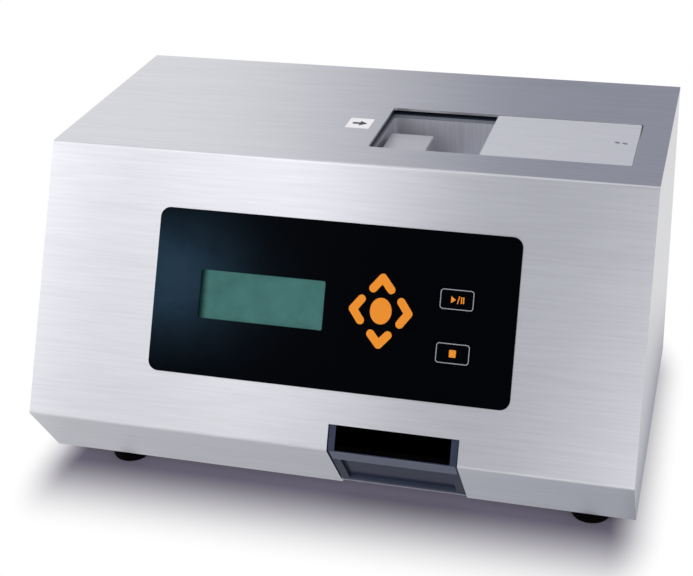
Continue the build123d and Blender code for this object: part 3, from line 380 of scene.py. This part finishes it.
# ---- the finishes, and which node wears which ----
CASE = (0.665, 0.669, 0.690)
case_steel = brushed_steel("case steel", CASE, 0.295)
side_steel = brushed_steel("side steel", CASE, 0.295, along=FRONT_TO_BACK, spin_axis="Y")
lid_steel = brushed_steel("lid steel", (0.71, 0.72, 0.74), 0.5, marks=900.0, sheen=0.2, metallic=0.75)
well_steel = brushed_steel("well steel", (0.76, 0.77, 0.82), 0.38, along=UPWARDS, marks=700.0, length=0.05,
                           tint=0.2, sheen=0.4, metallic=0.8)
plated_steel = machined_metal("plated steel", (0.68, 0.68, 0.70), 0.20)
ground_steel = machined_metal("ground steel", (0.60, 0.60, 0.62), 0.16, marks=2600.0)
machined_aluminium = machined_metal("machined aluminium", (0.72, 0.73, 0.75), 0.36)
bronze = machined_metal("bronze", (0.72, 0.52, 0.28), 0.20)
FILM = (0.0012, 0.0016, 0.0025)
black_film = gloss_film("black film", FILM, 0.12, Specular_IOR_Level=0.008)
# The cool colour on the keypad film's left end is a painted reflection.
overlay_film = film_with_painted_reflection("overlay film", FILM, (0.020, 0.046, 0.070))
orange_film = gloss_film("orange film", (1.0, 0.32, 0.02), 0.30, Specular_IOR_Level=0.15)
silver_print = gloss_film("silver print", (0.30, 0.32, 0.34), 0.35)
black_print = gloss_film("black print", (0.01, 0.01, 0.011), 0.4)
white_print = gloss_film("white print", (0.8, 0.8, 0.8), 0.4)
contact_gold = machined_metal("contact gold", (0.83, 0.62, 0.30), 0.20)
# The display glows as painted light, and its darker left end is a painted shade.
lcd_green = glowing_display_with_painted_shade("display green", (0.0221, 0.0585, 0.0549), (0.0012, 0.006, 0.0066))
clear_window = Finish("clear window", (0.92, 0.96, 0.95), 0.04, Transmission_Weight=1.0, IOR=1.02).material
# The tray's near-black inside is a painted shade.
tray_plastic = scoop_with_painted_shade("tray plastic", (0.046, 0.058, 0.092), (0.002, 0.002, 0.003))
# The pale lip colour is a painted highlight on the edges of the tray's front.
lip_highlight_plastic = moulded_plastic("tray lip painted highlight", (0.21, 0.24, 0.29), 0.3, depth=0.00001,
                              Specular_IOR_Level=0.03)
jaw_steel = brushed_steel("jaw steel", (0.64, 0.645, 0.67), 0.4, marks=1600.0, tint=0.06, sheen=0.2,
                          metallic=0.8)
# The runner's dark top is a painted shade.
runner_plastic = runner_with_painted_shade("runner plastic", (0.22, 0.235, 0.27), (0.014, 0.019, 0.032), 194.6)
black_plastic = moulded_plastic("black plastic", (0.02, 0.02, 0.022), 0.42)
motor_black = moulded_plastic("motor enamel", (0.025, 0.025, 0.028), 0.35)
foot_rubber = moulded_plastic("foot rubber", (0.0015, 0.0015, 0.0018), 0.75, Specular_IOR_Level=0.02)
board_green = gloss_film("board green", (0.02, 0.12, 0.06), 0.3)
label_white = moulded_plastic("label white", (0.75, 0.75, 0.75), 0.6)
ribbon_grey = moulded_plastic("ribbon grey", (0.45, 0.46, 0.48), 0.5)

FINISH_OF_SLOT = {
    "case_steel": case_steel, "lid_steel": lid_steel, "well_steel": well_steel,
    "plated_steel": plated_steel, "ground_steel": ground_steel, "machined_aluminium": machined_aluminium,
    "bronze": bronze, "black_film": overlay_film, "key_film": black_film, "orange_film": orange_film,
    "lcd_green": lcd_green, "clear_window": clear_window, "tray_plastic": tray_plastic,
    "runner_plastic": runner_plastic, "black_plastic": black_plastic, "motor_black": motor_black,
    "foot_rubber": foot_rubber, "board_green": board_green, "label_white": label_white,
    "ribbon_grey": ribbon_grey,
}
SLOT_OF_NODE = {part["node"]: part["material_slot"] for part in frame["record"]["subparts"]}
for name, thing in nodes.items():
    finish = FINISH_OF_SLOT[SLOT_OF_NODE[name]]
    if name in ("left_side_panel", "right_side_panel"):
        finish = side_steel
    elif name in ("moving_jaw", "anvil"):
        finish = jaw_steel
    thing.data.materials.clear()
    thing.data.materials.append(finish)


# ---- flat shapes and raised prints ----
# How far the two faces of a print lie outside the surface that carries it, in mm.
PRINT_SUNK, PRINT_PROUD = -0.02, 0.05


def arc(centre, radius, start, end, steps):
    """Points on a circle from one angle to another, in degrees."""
    turns = [math.radians(start + (end - start) * i / steps) for i in range(steps + 1)]
    return [(centre[0] + radius * math.cos(a), centre[1] + radius * math.sin(a)) for a in turns]


def rounded_rectangle(width, height, radius):
    corners = [(width / 2 - radius, height / 2 - radius, 0), (radius - width / 2, height / 2 - radius, 90),
               (radius - width / 2, radius - height / 2, 180), (width / 2 - radius, radius - height / 2, 270)]
    return [point for x, y, start in corners for point in arc((x, y), radius, start, start + 90, 6)]


def bent_stroke(start, bend, end, width):
    """The outline of a stroke with two arms and round ends, bent once."""
    first = (Vector(bend) - Vector(start)).normalized()
    second = (Vector(end) - Vector(bend)).normalized()
    half = width / 2
    turn = math.degrees(math.atan2(first.x * second.y - first.y * second.x, first.dot(second)))
    heading = math.degrees(math.atan2(first.y, first.x))
    after = heading + turn
    side = 90 if turn < 0 else -90
    inner = Vector(bend) + (second - first).normalized() * (half / math.cos(math.radians(turn / 2)))
    outline = arc(start, half, heading - side, heading - side - math.copysign(180, side), 10)
    outline += arc(bend, half, heading + side, after + side, 8)
    outline += arc(end, half, after + side, after + side - math.copysign(180, side), 10)
    return outline + [tuple(inner)]


def on_face(x, drop, out):
    """A place on the leaning face, in metres: x, distance down from the top fold, distance outwards."""
    return (Vector((x, Y_EDGE, Z_TOP)) + FACE_DOWN * drop + FACE_OUT * out) * MM


def on_tray_front(x, drop, out):
    """A place on the tray's sloping front: x, distance down from the nose, distance outwards."""
    return (Vector((x, Y_NOSE, Z_NOSE)) + CHAMFER_DOWN * drop + CHAMFER_OUT * (out - TRAY_SETBACK)) * MM


def on_top(x, y, out):
    return Vector((x, y, Z_TOP + out)) * MM


def add_piece(name, mesh, material, body, instead_of=None):
    """Links a finished mesh as a piece that rides on a body and may stand for a node."""
    mesh.materials.clear()
    mesh.materials.append(material)
    thing = bpy.data.objects.new(name, mesh)
    bpy.context.scene.collection.objects.link(thing)
    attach(thing, body)
    if instead_of:
        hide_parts(instead_of)


def closed_mesh(name, work):
    """Turns the work into a mesh whose faces point outwards."""
    bmesh.ops.recalc_face_normals(work, faces=work.faces)
    mesh = bpy.data.meshes.new(name)
    work.to_mesh(mesh)
    work.free()
    return mesh


def skin(work, rings, loop=False):
    """Joins rings of points into a closed skin: capped at both ends, or carried round to the first ring."""
    rings = [[work.verts.new(point) for point in ring] for ring in rings]
    for lower, upper in zip(rings, rings[1:] + rings[:1] if loop else rings[1:]):
        for i, vertex in enumerate(lower):
            j = (i + 1) % len(lower)
            work.faces.new((vertex, lower[j], upper[j], upper[i]))
    if not loop:
        work.faces.new(rings[0])
        work.faces.new(rings[-1])


def turned(work, profile, place, steps, loop=False):
    """A turned shape on an upright axis, from radius and height pairs in mm."""
    turns = [math.tau * i / steps for i in range(steps)]
    skin(work, [[Vector((place[0] + radius * math.cos(a), place[1] + radius * math.sin(a),
                         place[2] + height)) * MM for a in turns] for radius, height in profile], loop)


def raised(name, shapes, placed, low, high):
    """Flat outlines, some with a hole, raised from low to high. placed turns (a, b, out) into a point."""
    work = bmesh.new()
    for outline, hole in shapes:
        if hole:
            skin(work, [[placed(a, b, out) for a, b in ring]
                        for ring, out in ((outline, low), (outline, high), (hole, high), (hole, low))], True)
        else:
            skin(work, [[placed(a, b, out) for a, b in outline] for out in (low, high)])
    return closed_mesh(name, work)


def shifted(outline, x, drop):
    return [(x + a, drop + b) for a, b in outline]


KEY_TOP = 0.9
CHEVRON_WIDTH = 4.8
START_PLACE, STOP_PLACE = (74.0, 71.8), (74.0, 102.1)


def key_prints():
    """Orange marks on the arrow keys, and framed marks on the start and stop keys."""
    low, high = KEY_TOP + PRINT_SUNK, KEY_TOP + PRINT_PROUD
    chevrons = {
        "key_up": ((25.5, 69.9), (30.7, 63.5), (36.0, 69.9)),
        "key_down": ((26.0, 95.7), (31.0, 101.4), (36.1, 95.7)),
        "key_left": ((19.3, 76.5), (14.6, 82.5), (19.3, 88.7)),
        "key_right": ((42.4, 76.2), (47.0, 82.5), (42.4, 88.8)),
    }
    marks = {key: [bent_stroke(*points, CHEVRON_WIDTH)] for key, points in chevrons.items()}
    triangle = [(70.7, 69.9), (70.7, 73.9), (73.4, 71.9)]
    slash = [(74.1, 74.1), (74.7, 74.1), (75.7, 69.7), (75.1, 69.7)]
    bars = [shifted(rounded_rectangle(0.7, 3.8, 0.2), x, 71.9) for x in (76.6, 77.8)]
    marks["key_start"] = [triangle, slash, *bars]
    marks["key_stop"] = [shifted(rounded_rectangle(3.9, 4.2, 0.4), *STOP_PLACE)]
    for key, outlines in marks.items():
        mesh = raised(key + "_mark", [(outline, []) for outline in outlines], on_face, low, high)
        add_piece(key + "_mark", mesh, orange_film, key + "_pad")
    for key, place in (("key_start", START_PLACE), ("key_stop", STOP_PLACE)):
        line = (shifted(rounded_rectangle(19.2, 11.4, 1.8), *place),
                shifted(rounded_rectangle(18.2, 10.4, 1.3), *place))
        mesh = raised(key + "_outline", [line], on_face, low, high)
        add_piece(key + "_outline", mesh, silver_print, key + "_pad")


# ---- label, lid studs, feet, painted highlights of the tray lip ----
LABEL_PLACE = (-5.5, 14.638)
LABEL_THICK = 0.12
FOOT_PLACES = [(x, y, 0.0) for x in (-136.0, 153.0) for y in (-74.162, 88.338)]
STUD_PLACES = [(150.2, 13.2, 198.7), (154.6, 12.5, 198.7)]


def arrow_label():
    """A white label with a black arrow that points to the test well."""
    outline = shifted(rounded_rectangle(15.0, 16.6, 0.8), *LABEL_PLACE)
    sheet = raised("arrow_label_sheet", [(outline, [])], on_top, 0.0, LABEL_THICK)
    add_piece("arrow_label_sheet", sheet, label_white, "housing", "arrow_label")
    arrow = [(-4.4, -1.4), (0.0, -1.4), (0.0, -3.8), (4.8, 0.0), (0.0, 3.8), (0.0, 1.4), (-4.4, 1.4)]
    mesh = raised("arrow_label_print", [(shifted(arrow, *LABEL_PLACE), [])], on_top, LABEL_THICK - 0.01,
                  LABEL_THICK + 0.03)
    add_piece("arrow_label_print", mesh, black_print, "housing")


def lid_studs():
    """Two low domed studs that give a finger its hold on the lid."""
    profile = [(1.0, -0.4), (1.0, 0.0), (1.9, 0.0), (1.9, 0.1), (1.6, 0.22), (1.1, 0.3), (0.5, 0.34)]
    work = bmesh.new()
    for place in STUD_PLACES:
        turned(work, profile, place, steps=24)
    add_piece("lid_studs", closed_mesh("lid_studs", work), plated_steel, "lid")


def moulded_feet():
    """Rubber feet with rounded rims, a ring groove under each and a deep hole for its screw."""
    profile = [(4.6, 5.0), (4.6, 0.5), (5.1, 0.0), (7.2, 0.0), (7.5, 0.4), (8.3, 0.4), (8.6, 0.0),
               (10.4, 0.0), (11.0, 0.25), (11.35, 0.8), (12.2, 7.2), (12.0, 7.8), (11.7, 8.0), (2.3, 8.0),
               (2.3, 5.0)]
    work = bmesh.new()
    for place in FOOT_PLACES:
        turned(work, profile, place, steps=56, loop=True)
    mesh = closed_mesh("moulded_feet", work)
    add_piece("moulded_feet", mesh, foot_rubber, "housing", "feet")


def tray_painted_highlights():
    """Painted highlights: the pale lip across the top of the tray's front, and the thin pale bead along its
    foot.
    """
    lip = [(7.4, 1.2), (80.6, 1.2), (80.6, 12.8), (79.8, 13.4), (8.2, 13.4), (7.4, 12.8)]
    bead = [(7.4, 47.7), (80.6, 47.7), (80.6, 48.6), (7.4, 48.6)]
    mesh = raised("tray_lip_highlight", [(lip, []), (bead, [])], on_tray_front, PRINT_SUNK, 0.2)
    add_piece("tray_lip_highlight", mesh, lip_highlight_plastic, "tray")


# ---- screws, pins and posts ----
GEOMETRY, INTEGER, MATERIAL = "NodeSocketGeometry", "NodeSocketInt", "NodeSocketMaterial"
SAME_PLACE = 1e-6


def fastener_tree():
    """A headed pin, its head drilled with a socket, set out at places that each carry a heading."""
    tree = bpy.data.node_groups.new("fasteners", "GeometryNodeTree")
    for label, kind, start in (
            ("Places", GEOMETRY, None), ("Head sides", INTEGER, 28), ("Head radius", FLOAT, 0.0028),
            ("Head height", FLOAT, 0.002), ("Head edge", FLOAT, 0.0003), ("Shank radius", FLOAT, 0.0015),
            ("Shank length", FLOAT, 0.006), ("Socket sides", INTEGER, 6), ("Socket radius", FLOAT, 0.0015),
            ("Socket depth", FLOAT, 0.001), ("Seed", INTEGER, 3), ("Finish", MATERIAL, None)):
        socket = tree.interface.new_socket(label, in_out="INPUT", socket_type=kind)
        if start is not None:
            socket.default_value = start
    tree.interface.new_socket("Fasteners", in_out="OUTPUT", socket_type=GEOMETRY)
    graph = Graph(tree)
    given = graph.add("NodeGroupInput").outputs

    start = graph.add("GeometryNodeMeshCircle", {
        "Vertices": given["Head sides"], "Radius": given["Shank radius"]}, fill_type="NGON")
    start = graph.add("GeometryNodeTransform", {
        "Geometry": start.outputs[0],
        "Translation": graph.add("ShaderNodeCombineXYZ", {
            2: graph.maths("MULTIPLY", given["Shank length"], -1.0)}).outputs[0]}).outputs[0]
    shape, top = start, True
    straight = graph.maths("SUBTRACT", given["Head height"], given["Head edge"])
    to_head = graph.maths("DIVIDE", given["Head radius"], given["Shank radius"])
    trimmed = graph.maths("SUBTRACT", 1.0, graph.maths("DIVIDE", given["Head edge"], given["Head radius"]))
    for height, scale in ((given["Shank length"], 1.0), (0.0, to_head), (straight, 1.0),
                          (given["Head edge"], trimmed)):
        drawn = graph.add("GeometryNodeExtrudeMesh", {
            "Mesh": shape, "Selection": top, "Offset Scale": height, "Individual": False}, mode="FACES")
        top = drawn.outputs["Top"]
        shape = graph.add("GeometryNodeScaleElements", {
            "Geometry": drawn.outputs["Mesh"], "Selection": top, "Scale": scale}, domain="FACE").outputs[0]
    closed = graph.add("GeometryNodeJoinGeometry")
    graph.feed(closed.inputs[0], graph.add("GeometryNodeFlipFaces", {"Mesh": start}).outputs[0])
    graph.feed(closed.inputs[0], shape)
    closed = graph.add("GeometryNodeMergeByDistance", {"Geometry": closed.outputs[0], "Distance": SAME_PLACE})
    drill = graph.add("GeometryNodeMeshCylinder", {
        "Vertices": given["Socket sides"], "Radius": given["Socket radius"],
        "Depth": graph.maths("MULTIPLY", given["Socket depth"], 2.0)})
    drill = graph.add("GeometryNodeTransform", {
        "Geometry": drill.outputs[0],
        "Translation": graph.add("ShaderNodeCombineXYZ", {2: given["Head height"]}).outputs[0]})
    drilled = graph.add("GeometryNodeMeshBoolean", {0: closed.outputs[0], 1: drill.outputs[0]},
                        operation="DIFFERENCE")
    heading = graph.add("GeometryNodeInputNamedAttribute", {"Name": "heading"}, data_type="FLOAT_VECTOR")
    spin = graph.add("FunctionNodeRandomValue", {3: math.tau, "Seed": given["Seed"]})
    spin = graph.add("FunctionNodeEulerToRotation", {
        0: graph.add("ShaderNodeCombineXYZ", {2: spin.outputs[1]}).outputs[0]})
    turn = graph.add("FunctionNodeAlignRotationToVector", {
        "Rotation": spin.outputs[0], "Vector": heading.outputs[0]}, axis="Z")
    placed = graph.add("GeometryNodeInstanceOnPoints", {
        "Points": given["Places"], "Instance": drilled.outputs[0], "Rotation": turn.outputs[0]})
    whole = graph.add("GeometryNodeRealizeInstances", {"Geometry": placed.outputs[0]})
    done = graph.add("GeometryNodeSetMaterial", {"Geometry": whole.outputs[0], "Material": given["Finish"]})
    graph.feed(graph.add("NodeGroupOutput").inputs[0], done.outputs[0])
    return tree


FASTENERS = fastener_tree()


def fasteners(name, places, finish, body, slot, instead_of=None, **sizes):
    """Sets the fastener out at places and headings, with sizes in mm, as one plain mesh."""
    points = bpy.data.meshes.new(name)
    points.from_pydata([place for place, heading in places], [], [])
    headings = points.attributes.new("heading", "FLOAT_VECTOR", "POINT")
    headings.data.foreach_set("vector", [value for place, heading in places for value in heading])
    maker = bpy.data.objects.new(name, points)
    bpy.context.scene.collection.objects.link(maker)
    setting = maker.modifiers.new("fasteners", "NODES")
    setting.node_group = FASTENERS
    identifiers = {item.name: item.identifier for item in FASTENERS.interface.items_tree}
    setting[identifiers["Finish"]] = finish
    for label, value in sizes.items():
        label = label.replace("_", " ")
        setting[identifiers[label]] = value if "sides" in label else value * MM
    seen = maker.evaluated_get(bpy.context.evaluated_depsgraph_get())
    mesh = bpy.data.meshes.new_from_object(seen)
    bpy.data.objects.remove(maker)
    add_piece(name, mesh, finish, body, instead_of)


HEAD_RIM = 0.95


def screw_places(node, head_height):
    """Where the head of each screw in a node meets what it holds, and which way it faces."""
    work = bmesh.new()
    work.from_mesh(nodes[node].data)
    bmesh.ops.remove_doubles(work, verts=work.verts, dist=SAME_PLACE)
    waiting = set(work.verts)
    places = []
    while waiting:
        found = [waiting.pop()]
        for vertex in found:
            for edge in vertex.link_edges:
                other = edge.other_vert(vertex)
                if other in waiting:
                    waiting.remove(other)
                    found.append(other)
        low = Vector([min(v.co[i] for v in found) for i in range(3)])
        high = Vector([max(v.co[i] for v in found) for i in range(3)])
        centre, size = (low + high) / 2, high - low
        axis = max(range(3), key=lambda i: size[i])
        across = [i for i in range(3) if i != axis]
        widest = size[across[0]] / 2
        rim = [v.co[axis] for v in found
               if math.hypot(*(v.co[i] - centre[i] for i in across)) > HEAD_RIM * widest]
        side = math.copysign(1.0, sum(rim) / len(rim) - centre[axis])
        heading = Vector([side if i == axis else 0.0 for i in range(3)])
        places.append((centre + heading * (size[axis] / 2 - head_height * MM), heading))
    work.free()
    return sorted(places, key=lambda pair: [round(value, 5) for value in pair[0]])


def socket_screws():
    """Screws with drilled socket heads in place of the plain ones."""
    for node, head_radius, head_height, shank_radius, length, socket, depth in (
            ("small_screws", 2.8, 2.0, 1.5, 6.0, 1.45, 1.0),
            ("large_screws", 3.6, 2.6, 2.0, 12.0, 1.75, 1.4)):
        fasteners(node.replace("screws", "socket_screws"), screw_places(node, head_height), plated_steel,
                  "housing", "plated_steel", node, Head_radius=head_radius, Head_height=head_height,
                  Head_edge=0.35, Shank_radius=shank_radius, Shank_length=length, Socket_radius=socket,
                  Socket_depth=depth)


# ---- rear fittings ----
REAR_PORTS_Z = 45.0
INLET_X, ROCKER_X, PORT_X = -120.0, -72.0, 60.0
REAR_OUTER = 114.338
PIN_PITCH, PIN_ROW_Z = 2.77, 1.42


def inlet_blades():
    """Plated skins over the three blades of the mains inlet, with chamfered tips."""
    work = bmesh.new()
    for x, z in ((-7.0, -1.0), (0.0, 2.0), (7.0, -1.0)):
        skin(work, [[Vector((INLET_X + x + a * share, y, REAR_PORTS_Z + z + b * share)) * MM
                     for a, b in ((-1.05, -2.05), (1.05, -2.05), (1.05, 2.05), (-1.05, 2.05))]
                    for y, share in ((101.86, 1.0), (110.9, 1.0), (111.9, 0.6))])
    add_piece("inlet_blades", closed_mesh("inlet_blades", work), plated_steel, "housing")


def rocker_marks():
    """A white bar and ring on the two flats of the rocker."""
    work = bmesh.new()
    work.from_mesh(nodes["power_rocker"].data)
    face = BVHTree.FromBMesh(work)
    work.free()

    def on_rocker(x, z, out):
        start = Vector((ROCKER_X + x, 130.0, REAR_PORTS_Z + z)) * MM
        place, normal = face.ray_cast(start, Vector((0, -1, 0)))[:2]
        return place + normal * out * MM

    bar = shifted(rounded_rectangle(0.8, 3.4, 0.15), 0.0, 3.3)
    ring = shifted(arc((0, 0), 1.7, 0, 345, 23), 0.0, -3.9)
    bore = shifted(arc((0, 0), 1.15, 0, 345, 23), 0.0, -3.9)
    mesh = raised("rocker_marks", [(bar, []), (ring, bore)], on_rocker, PRINT_SUNK, PRINT_PROUD)
    add_piece("rocker_marks", mesh, white_print, "rocker")


def port_fittings():
    """Nine contact pins in the port, and the hex posts beside it."""
    back = Vector((0, 1, 0))
    rows = [(PIN_PITCH * (i - (count - 1) / 2), z)
            for count, z in ((5, PIN_ROW_Z), (4, -PIN_ROW_Z)) for i in range(count)]
    pins = [(Vector((PORT_X + x, REAR_OUTER, REAR_PORTS_Z + z)) * MM, back) for x, z in rows]
    fasteners("port_pins", pins, contact_gold, "housing", "bronze", Head_sides=10, Head_radius=0.5,
              Head_height=2.1, Head_edge=0.2, Shank_radius=0.5, Shank_length=0.5, Socket_radius=0.12,
              Socket_depth=0.2)
    posts = [(Vector((PORT_X + x, REAR_OUTER + 1.0, REAR_PORTS_Z)) * MM, back) for x in (-12.5, 12.5)]
    fasteners("port_posts", posts, plated_steel, "housing", "plated_steel", Head_sides=6, Head_radius=2.7,
              Head_height=2.7, Head_edge=0.3, Shank_radius=1.5, Shank_length=0.6, Socket_sides=16,
              Socket_radius=1.3, Socket_depth=2.0)


arrow_label()
lid_studs()
moulded_feet()
tray_painted_highlights()
socket_screws()
inlet_blades()
rocker_marks()
port_fittings()
key_prints()


# ---- bench top, light and camera, in metres ----
WHITE = (1.0, 1.0, 1.0, 1.0)
BENCH_REACH = 6.0
# The painted shadow round the case's foot: half the width and half the depth of its dark middle, where its
# fade starts and ends past them, and how much faster it fades towards the sides. Its colour is painted shade.
PAINTED_SHADOW_COLOUR = (0.195, 0.174, 0.24)
SHADOW_HALF_X, SHADOW_HALF_Y = 0.165, 0.088
SHADOW_START, SHADOW_END = -0.008, 0.074
SIDE_HURRY = 2.2
# The bench as metal mirrors it: near the case from its left end to its right, past its right side, and far
# away, with the places where one goes over into the next. The darker levels near the case are a painted
# shadow.
MIRRORED_LEFT, MIRRORED_RIGHT = (0.70, 0.70, 0.74, 1), (0.50, 0.51, 0.57, 1)
MIRRORED_PAST_SIDE, MIRRORED_FAR = (0.30, 0.31, 0.37, 1), (0.97, 0.97, 0.97, 1)
CASE_END = 0.16
PAST_SIDE_FROM, PAST_SIDE_TO = 0.17, 0.19
FAR_FROM, FAR_TO = 0.03, 0.16
# The studio in front of the case as metal mirrors it: levels from left to right, at three heights. Places
# and heights are parts of a direction of length 1.
STUDIO_ACROSS = (-0.75, -0.58, -0.48, -0.40, -0.33, -0.26, -0.19, -0.12, -0.05, 0.03, 0.12, 0.30)
LEVELS_LOW = (1.0, 1.5, 0.9, 0.2, 0.6, 0.33, 0.0, 0.4, 2.1, 2.4, 2.2, 1.0)
LEVELS_MIDDLE = (1.0, 3.0, 2.8, 0.5, 1.4, 1.55, 0.15, 0.4, 0.78, 1.15, 1.5, 1.0)
LEVELS_HIGH = (1.0, 2.5, 2.1, 1.0, 2.4, 3.0, 0.5, 0.3, 0.0, 0.0, 0.1, 0.6)
HEIGHT_LOW, HEIGHT_MIDDLE, HEIGHT_HIGH = 0.15, 0.36, 0.60
BRIGHTEST = 3.0
COOLER = (0.0, 0.007, 0.05)
# The rest of the studio: behind the case, where it darkens to the right, and overhead.
BEHIND_LEFT, BEHIND_RIGHT = (1.05, 1.05, 1.07, 1), (0.28, 0.29, 0.37, 1)
DARKENS_FROM, DARKENS_TO = -0.36, -0.12
BEHIND_FROM, BEHIND_TO = -0.3, 0.3
OVERHEAD = (0.9, 0.9, 0.94, 1)
OVERHEAD_FROM, OVERHEAD_TO = 0.6, 0.95
FILL = (0.46, 0.43, 0.50, 1)


def bench_top():
    """A white bench with a painted shadow: near the case's foot its own colour is dark and catches the real
    shadow too, and it fades to white away from the case. Gloss sees it as glowing levels, darker near the
    case as a painted shadow.
    """
    mesh = bpy.data.meshes.new("bench top")
    corners = [(x * BENCH_REACH, y * BENCH_REACH, 0) for x, y in ((-1, -1), (1, -1), (1, 1), (-1, 1))]
    mesh.from_pydata(corners, [], [(0, 1, 2, 3)])
    bench = bpy.data.objects.new("bench_top", mesh)
    bpy.context.scene.collection.objects.link(bench)
    # The bench's own colour near the case is a painted shadow; away from the case the bench fades to white.
    finish = Finish("bench white with painted shadow", PAINTED_SHADOW_COLOUR, 0.8, Specular_IOR_Level=0.0)
    mesh.materials.append(finish.material)
    path = finish.add("ShaderNodeLightPath").outputs
    axes = finish.add("ShaderNodeSeparateXYZ", {0: finish.place}).outputs
    beside = finish.maths("SUBTRACT", finish.maths("ABSOLUTE", axes[0]), SHADOW_HALF_X)
    beside = finish.maths("MULTIPLY", finish.maths("MAXIMUM", beside), SIDE_HURRY)
    before = finish.maths("SUBTRACT", finish.maths("ABSOLUTE", axes[1]), SHADOW_HALF_Y)
    before = finish.maths("MAXIMUM", before)
    squares = finish.maths("ADD", finish.maths("POWER", beside, 2.0), finish.maths("POWER", before, 2.0))
    away = finish.maths("POWER", squares, 0.5)
    # Where the painted shadow fades out into white.
    fade = finish.rise(away, SHADOW_START, SHADOW_END, "SMOOTHSTEP")
    # The darker levels that gloss sees near the case are a painted shadow.
    near = finish.blend(finish.rise(axes[0], -CASE_END, CASE_END), MIRRORED_LEFT, MIRRORED_RIGHT)
    near = finish.blend(finish.rise(axes[0], PAST_SIDE_FROM, PAST_SIDE_TO), near, MIRRORED_PAST_SIDE)
    level = finish.blend(finish.rise(away, FAR_FROM, FAR_TO), near, MIRRORED_FAR)
    level = finish.blend(path["Is Camera Ray"], level, WHITE)
    lit = finish.add("ShaderNodeEmission", {"Color": level})
    share = finish.maths("MAXIMUM", finish.maths("MULTIPLY", path["Is Camera Ray"], fade),
                         path["Is Glossy Ray"])
    shown = finish.add("ShaderNodeMixShader", {0: share, 1: finish.shader.outputs[0], 2: lit.outputs[0]})
    finish.feed(finish.tree.nodes["Material Output"].inputs["Surface"], shown.outputs[0])


def soft_light(name, heading, spread, strength, colour):
    """A broad soft light that shines along its heading and isn't mirrored in the metal."""
    lamp = bpy.data.lights.new(name, "SUN")
    lamp.angle = math.radians(spread)
    lamp.energy = strength
    lamp.color = colour
    thing = bpy.data.objects.new(name, lamp)
    thing.rotation_euler = Vector(heading).to_track_quat("-Z", "Y").to_euler()
    thing.visible_glossy = False
    bpy.context.scene.collection.objects.link(thing)


def studio_world():
    """White to the camera, an even fill for matt faces, and in gloss a studio of bright and dark panels."""
    world = bpy.data.worlds.new("studio")
    world.use_nodes = True
    bpy.context.scene.world = world
    graph = Graph(world.node_tree)
    world.node_tree.nodes.clear()
    path = graph.add("ShaderNodeLightPath").outputs
    toward = graph.add("ShaderNodeTexCoord").outputs["Generated"]
    to_right, to_back, upwards = graph.add("ShaderNodeSeparateXYZ", {0: toward}).outputs
    first, last = STUDIO_ACROSS[0], STUDIO_ACROSS[-1]

    def levels(height_levels):
        """How bright the studio is from left to right at one height."""
        ramp = graph.add("ShaderNodeValToRGB", {0: graph.rise(to_right, first, last)})
        stops = ramp.color_ramp.elements
        while len(stops) < len(STUDIO_ACROSS):
            stops.new(0.5)
        for stop, x in zip(stops, STUDIO_ACROSS):
            stop.position = (x - first) / (last - first)
        for stop, level in zip(stops, height_levels):
            stop.color = (*(level / BRIGHTEST,) * 3, 1.0)
        node = graph.add("ShaderNodeVectorMath", {0: ramp.outputs[0], "Scale": BRIGHTEST}, operation="SCALE")
        return graph.add("ShaderNodeVectorMath", {0: node.outputs[0], 1: COOLER}, operation="ADD").outputs[0]

    front = graph.blend(graph.rise(upwards, HEIGHT_LOW, HEIGHT_MIDDLE), levels(LEVELS_LOW),
                        levels(LEVELS_MIDDLE))
    front = graph.blend(graph.rise(upwards, HEIGHT_MIDDLE, HEIGHT_HIGH), front, levels(LEVELS_HIGH))
    darker = graph.rise(to_right, DARKENS_FROM, DARKENS_TO, "SMOOTHSTEP")
    behind = graph.blend(darker, BEHIND_LEFT, BEHIND_RIGHT)
    level = graph.blend(graph.rise(to_back, BEHIND_FROM, BEHIND_TO, "SMOOTHSTEP"), front, behind)
    gloss = graph.blend(graph.rise(upwards, OVERHEAD_FROM, OVERHEAD_TO, "SMOOTHSTEP"), level, OVERHEAD)
    undimmed = graph.maths("LESS_THAN", path["Diffuse Depth"], 0.5)
    fill = graph.blend(graph.maths("MULTIPLY", path["Is Glossy Ray"], undimmed), FILL, gloss)
    shown = graph.blend(path["Is Camera Ray"], fill, WHITE)
    light = graph.add("ShaderNodeBackground", {"Color": shown})
    graph.feed(graph.add("ShaderNodeOutputWorld").inputs["Surface"], light.outputs[0])


CAMERA_PLACE = (0.218694, -0.810390, 0.521286)
# The ways that the camera's right, down and ahead point.
CAMERA_RIGHT = Vector((0.96477366, 0.26173563, -0.02657531))
CAMERA_DOWN = Vector((0.08208143, -0.39544295, -0.91481556))
CAMERA_AHEAD = Vector((-0.24994885, 0.88040862, -0.40299658))


def bench_camera():
    lens = bpy.data.cameras.new("camera")
    lens.lens = 77.492
    lens.sensor_width = 36.0
    lens.shift_y = -0.12
    lens.clip_start = 0.05
    camera = bpy.data.objects.new("camera", lens)
    turn = Matrix((CAMERA_RIGHT, -CAMERA_DOWN, -CAMERA_AHEAD)).transposed().to_4x4()
    camera.matrix_world = Matrix.Translation(CAMERA_PLACE) @ turn
    bpy.context.scene.collection.objects.link(camera)
    bpy.context.scene.camera = camera


bench_top()
soft_light("overhead", heading=(0.12, -0.5, -1.0), spread=40.0, strength=1.6, colour=(0.98, 1.0, 0.93))
soft_light("front", heading=(0.25, 1.0, -0.6), spread=60.0, strength=1.4, colour=(1.0, 1.0, 1.0))
studio_world()
bench_camera()
bpy.context.scene.view_settings.view_transform = "Standard"
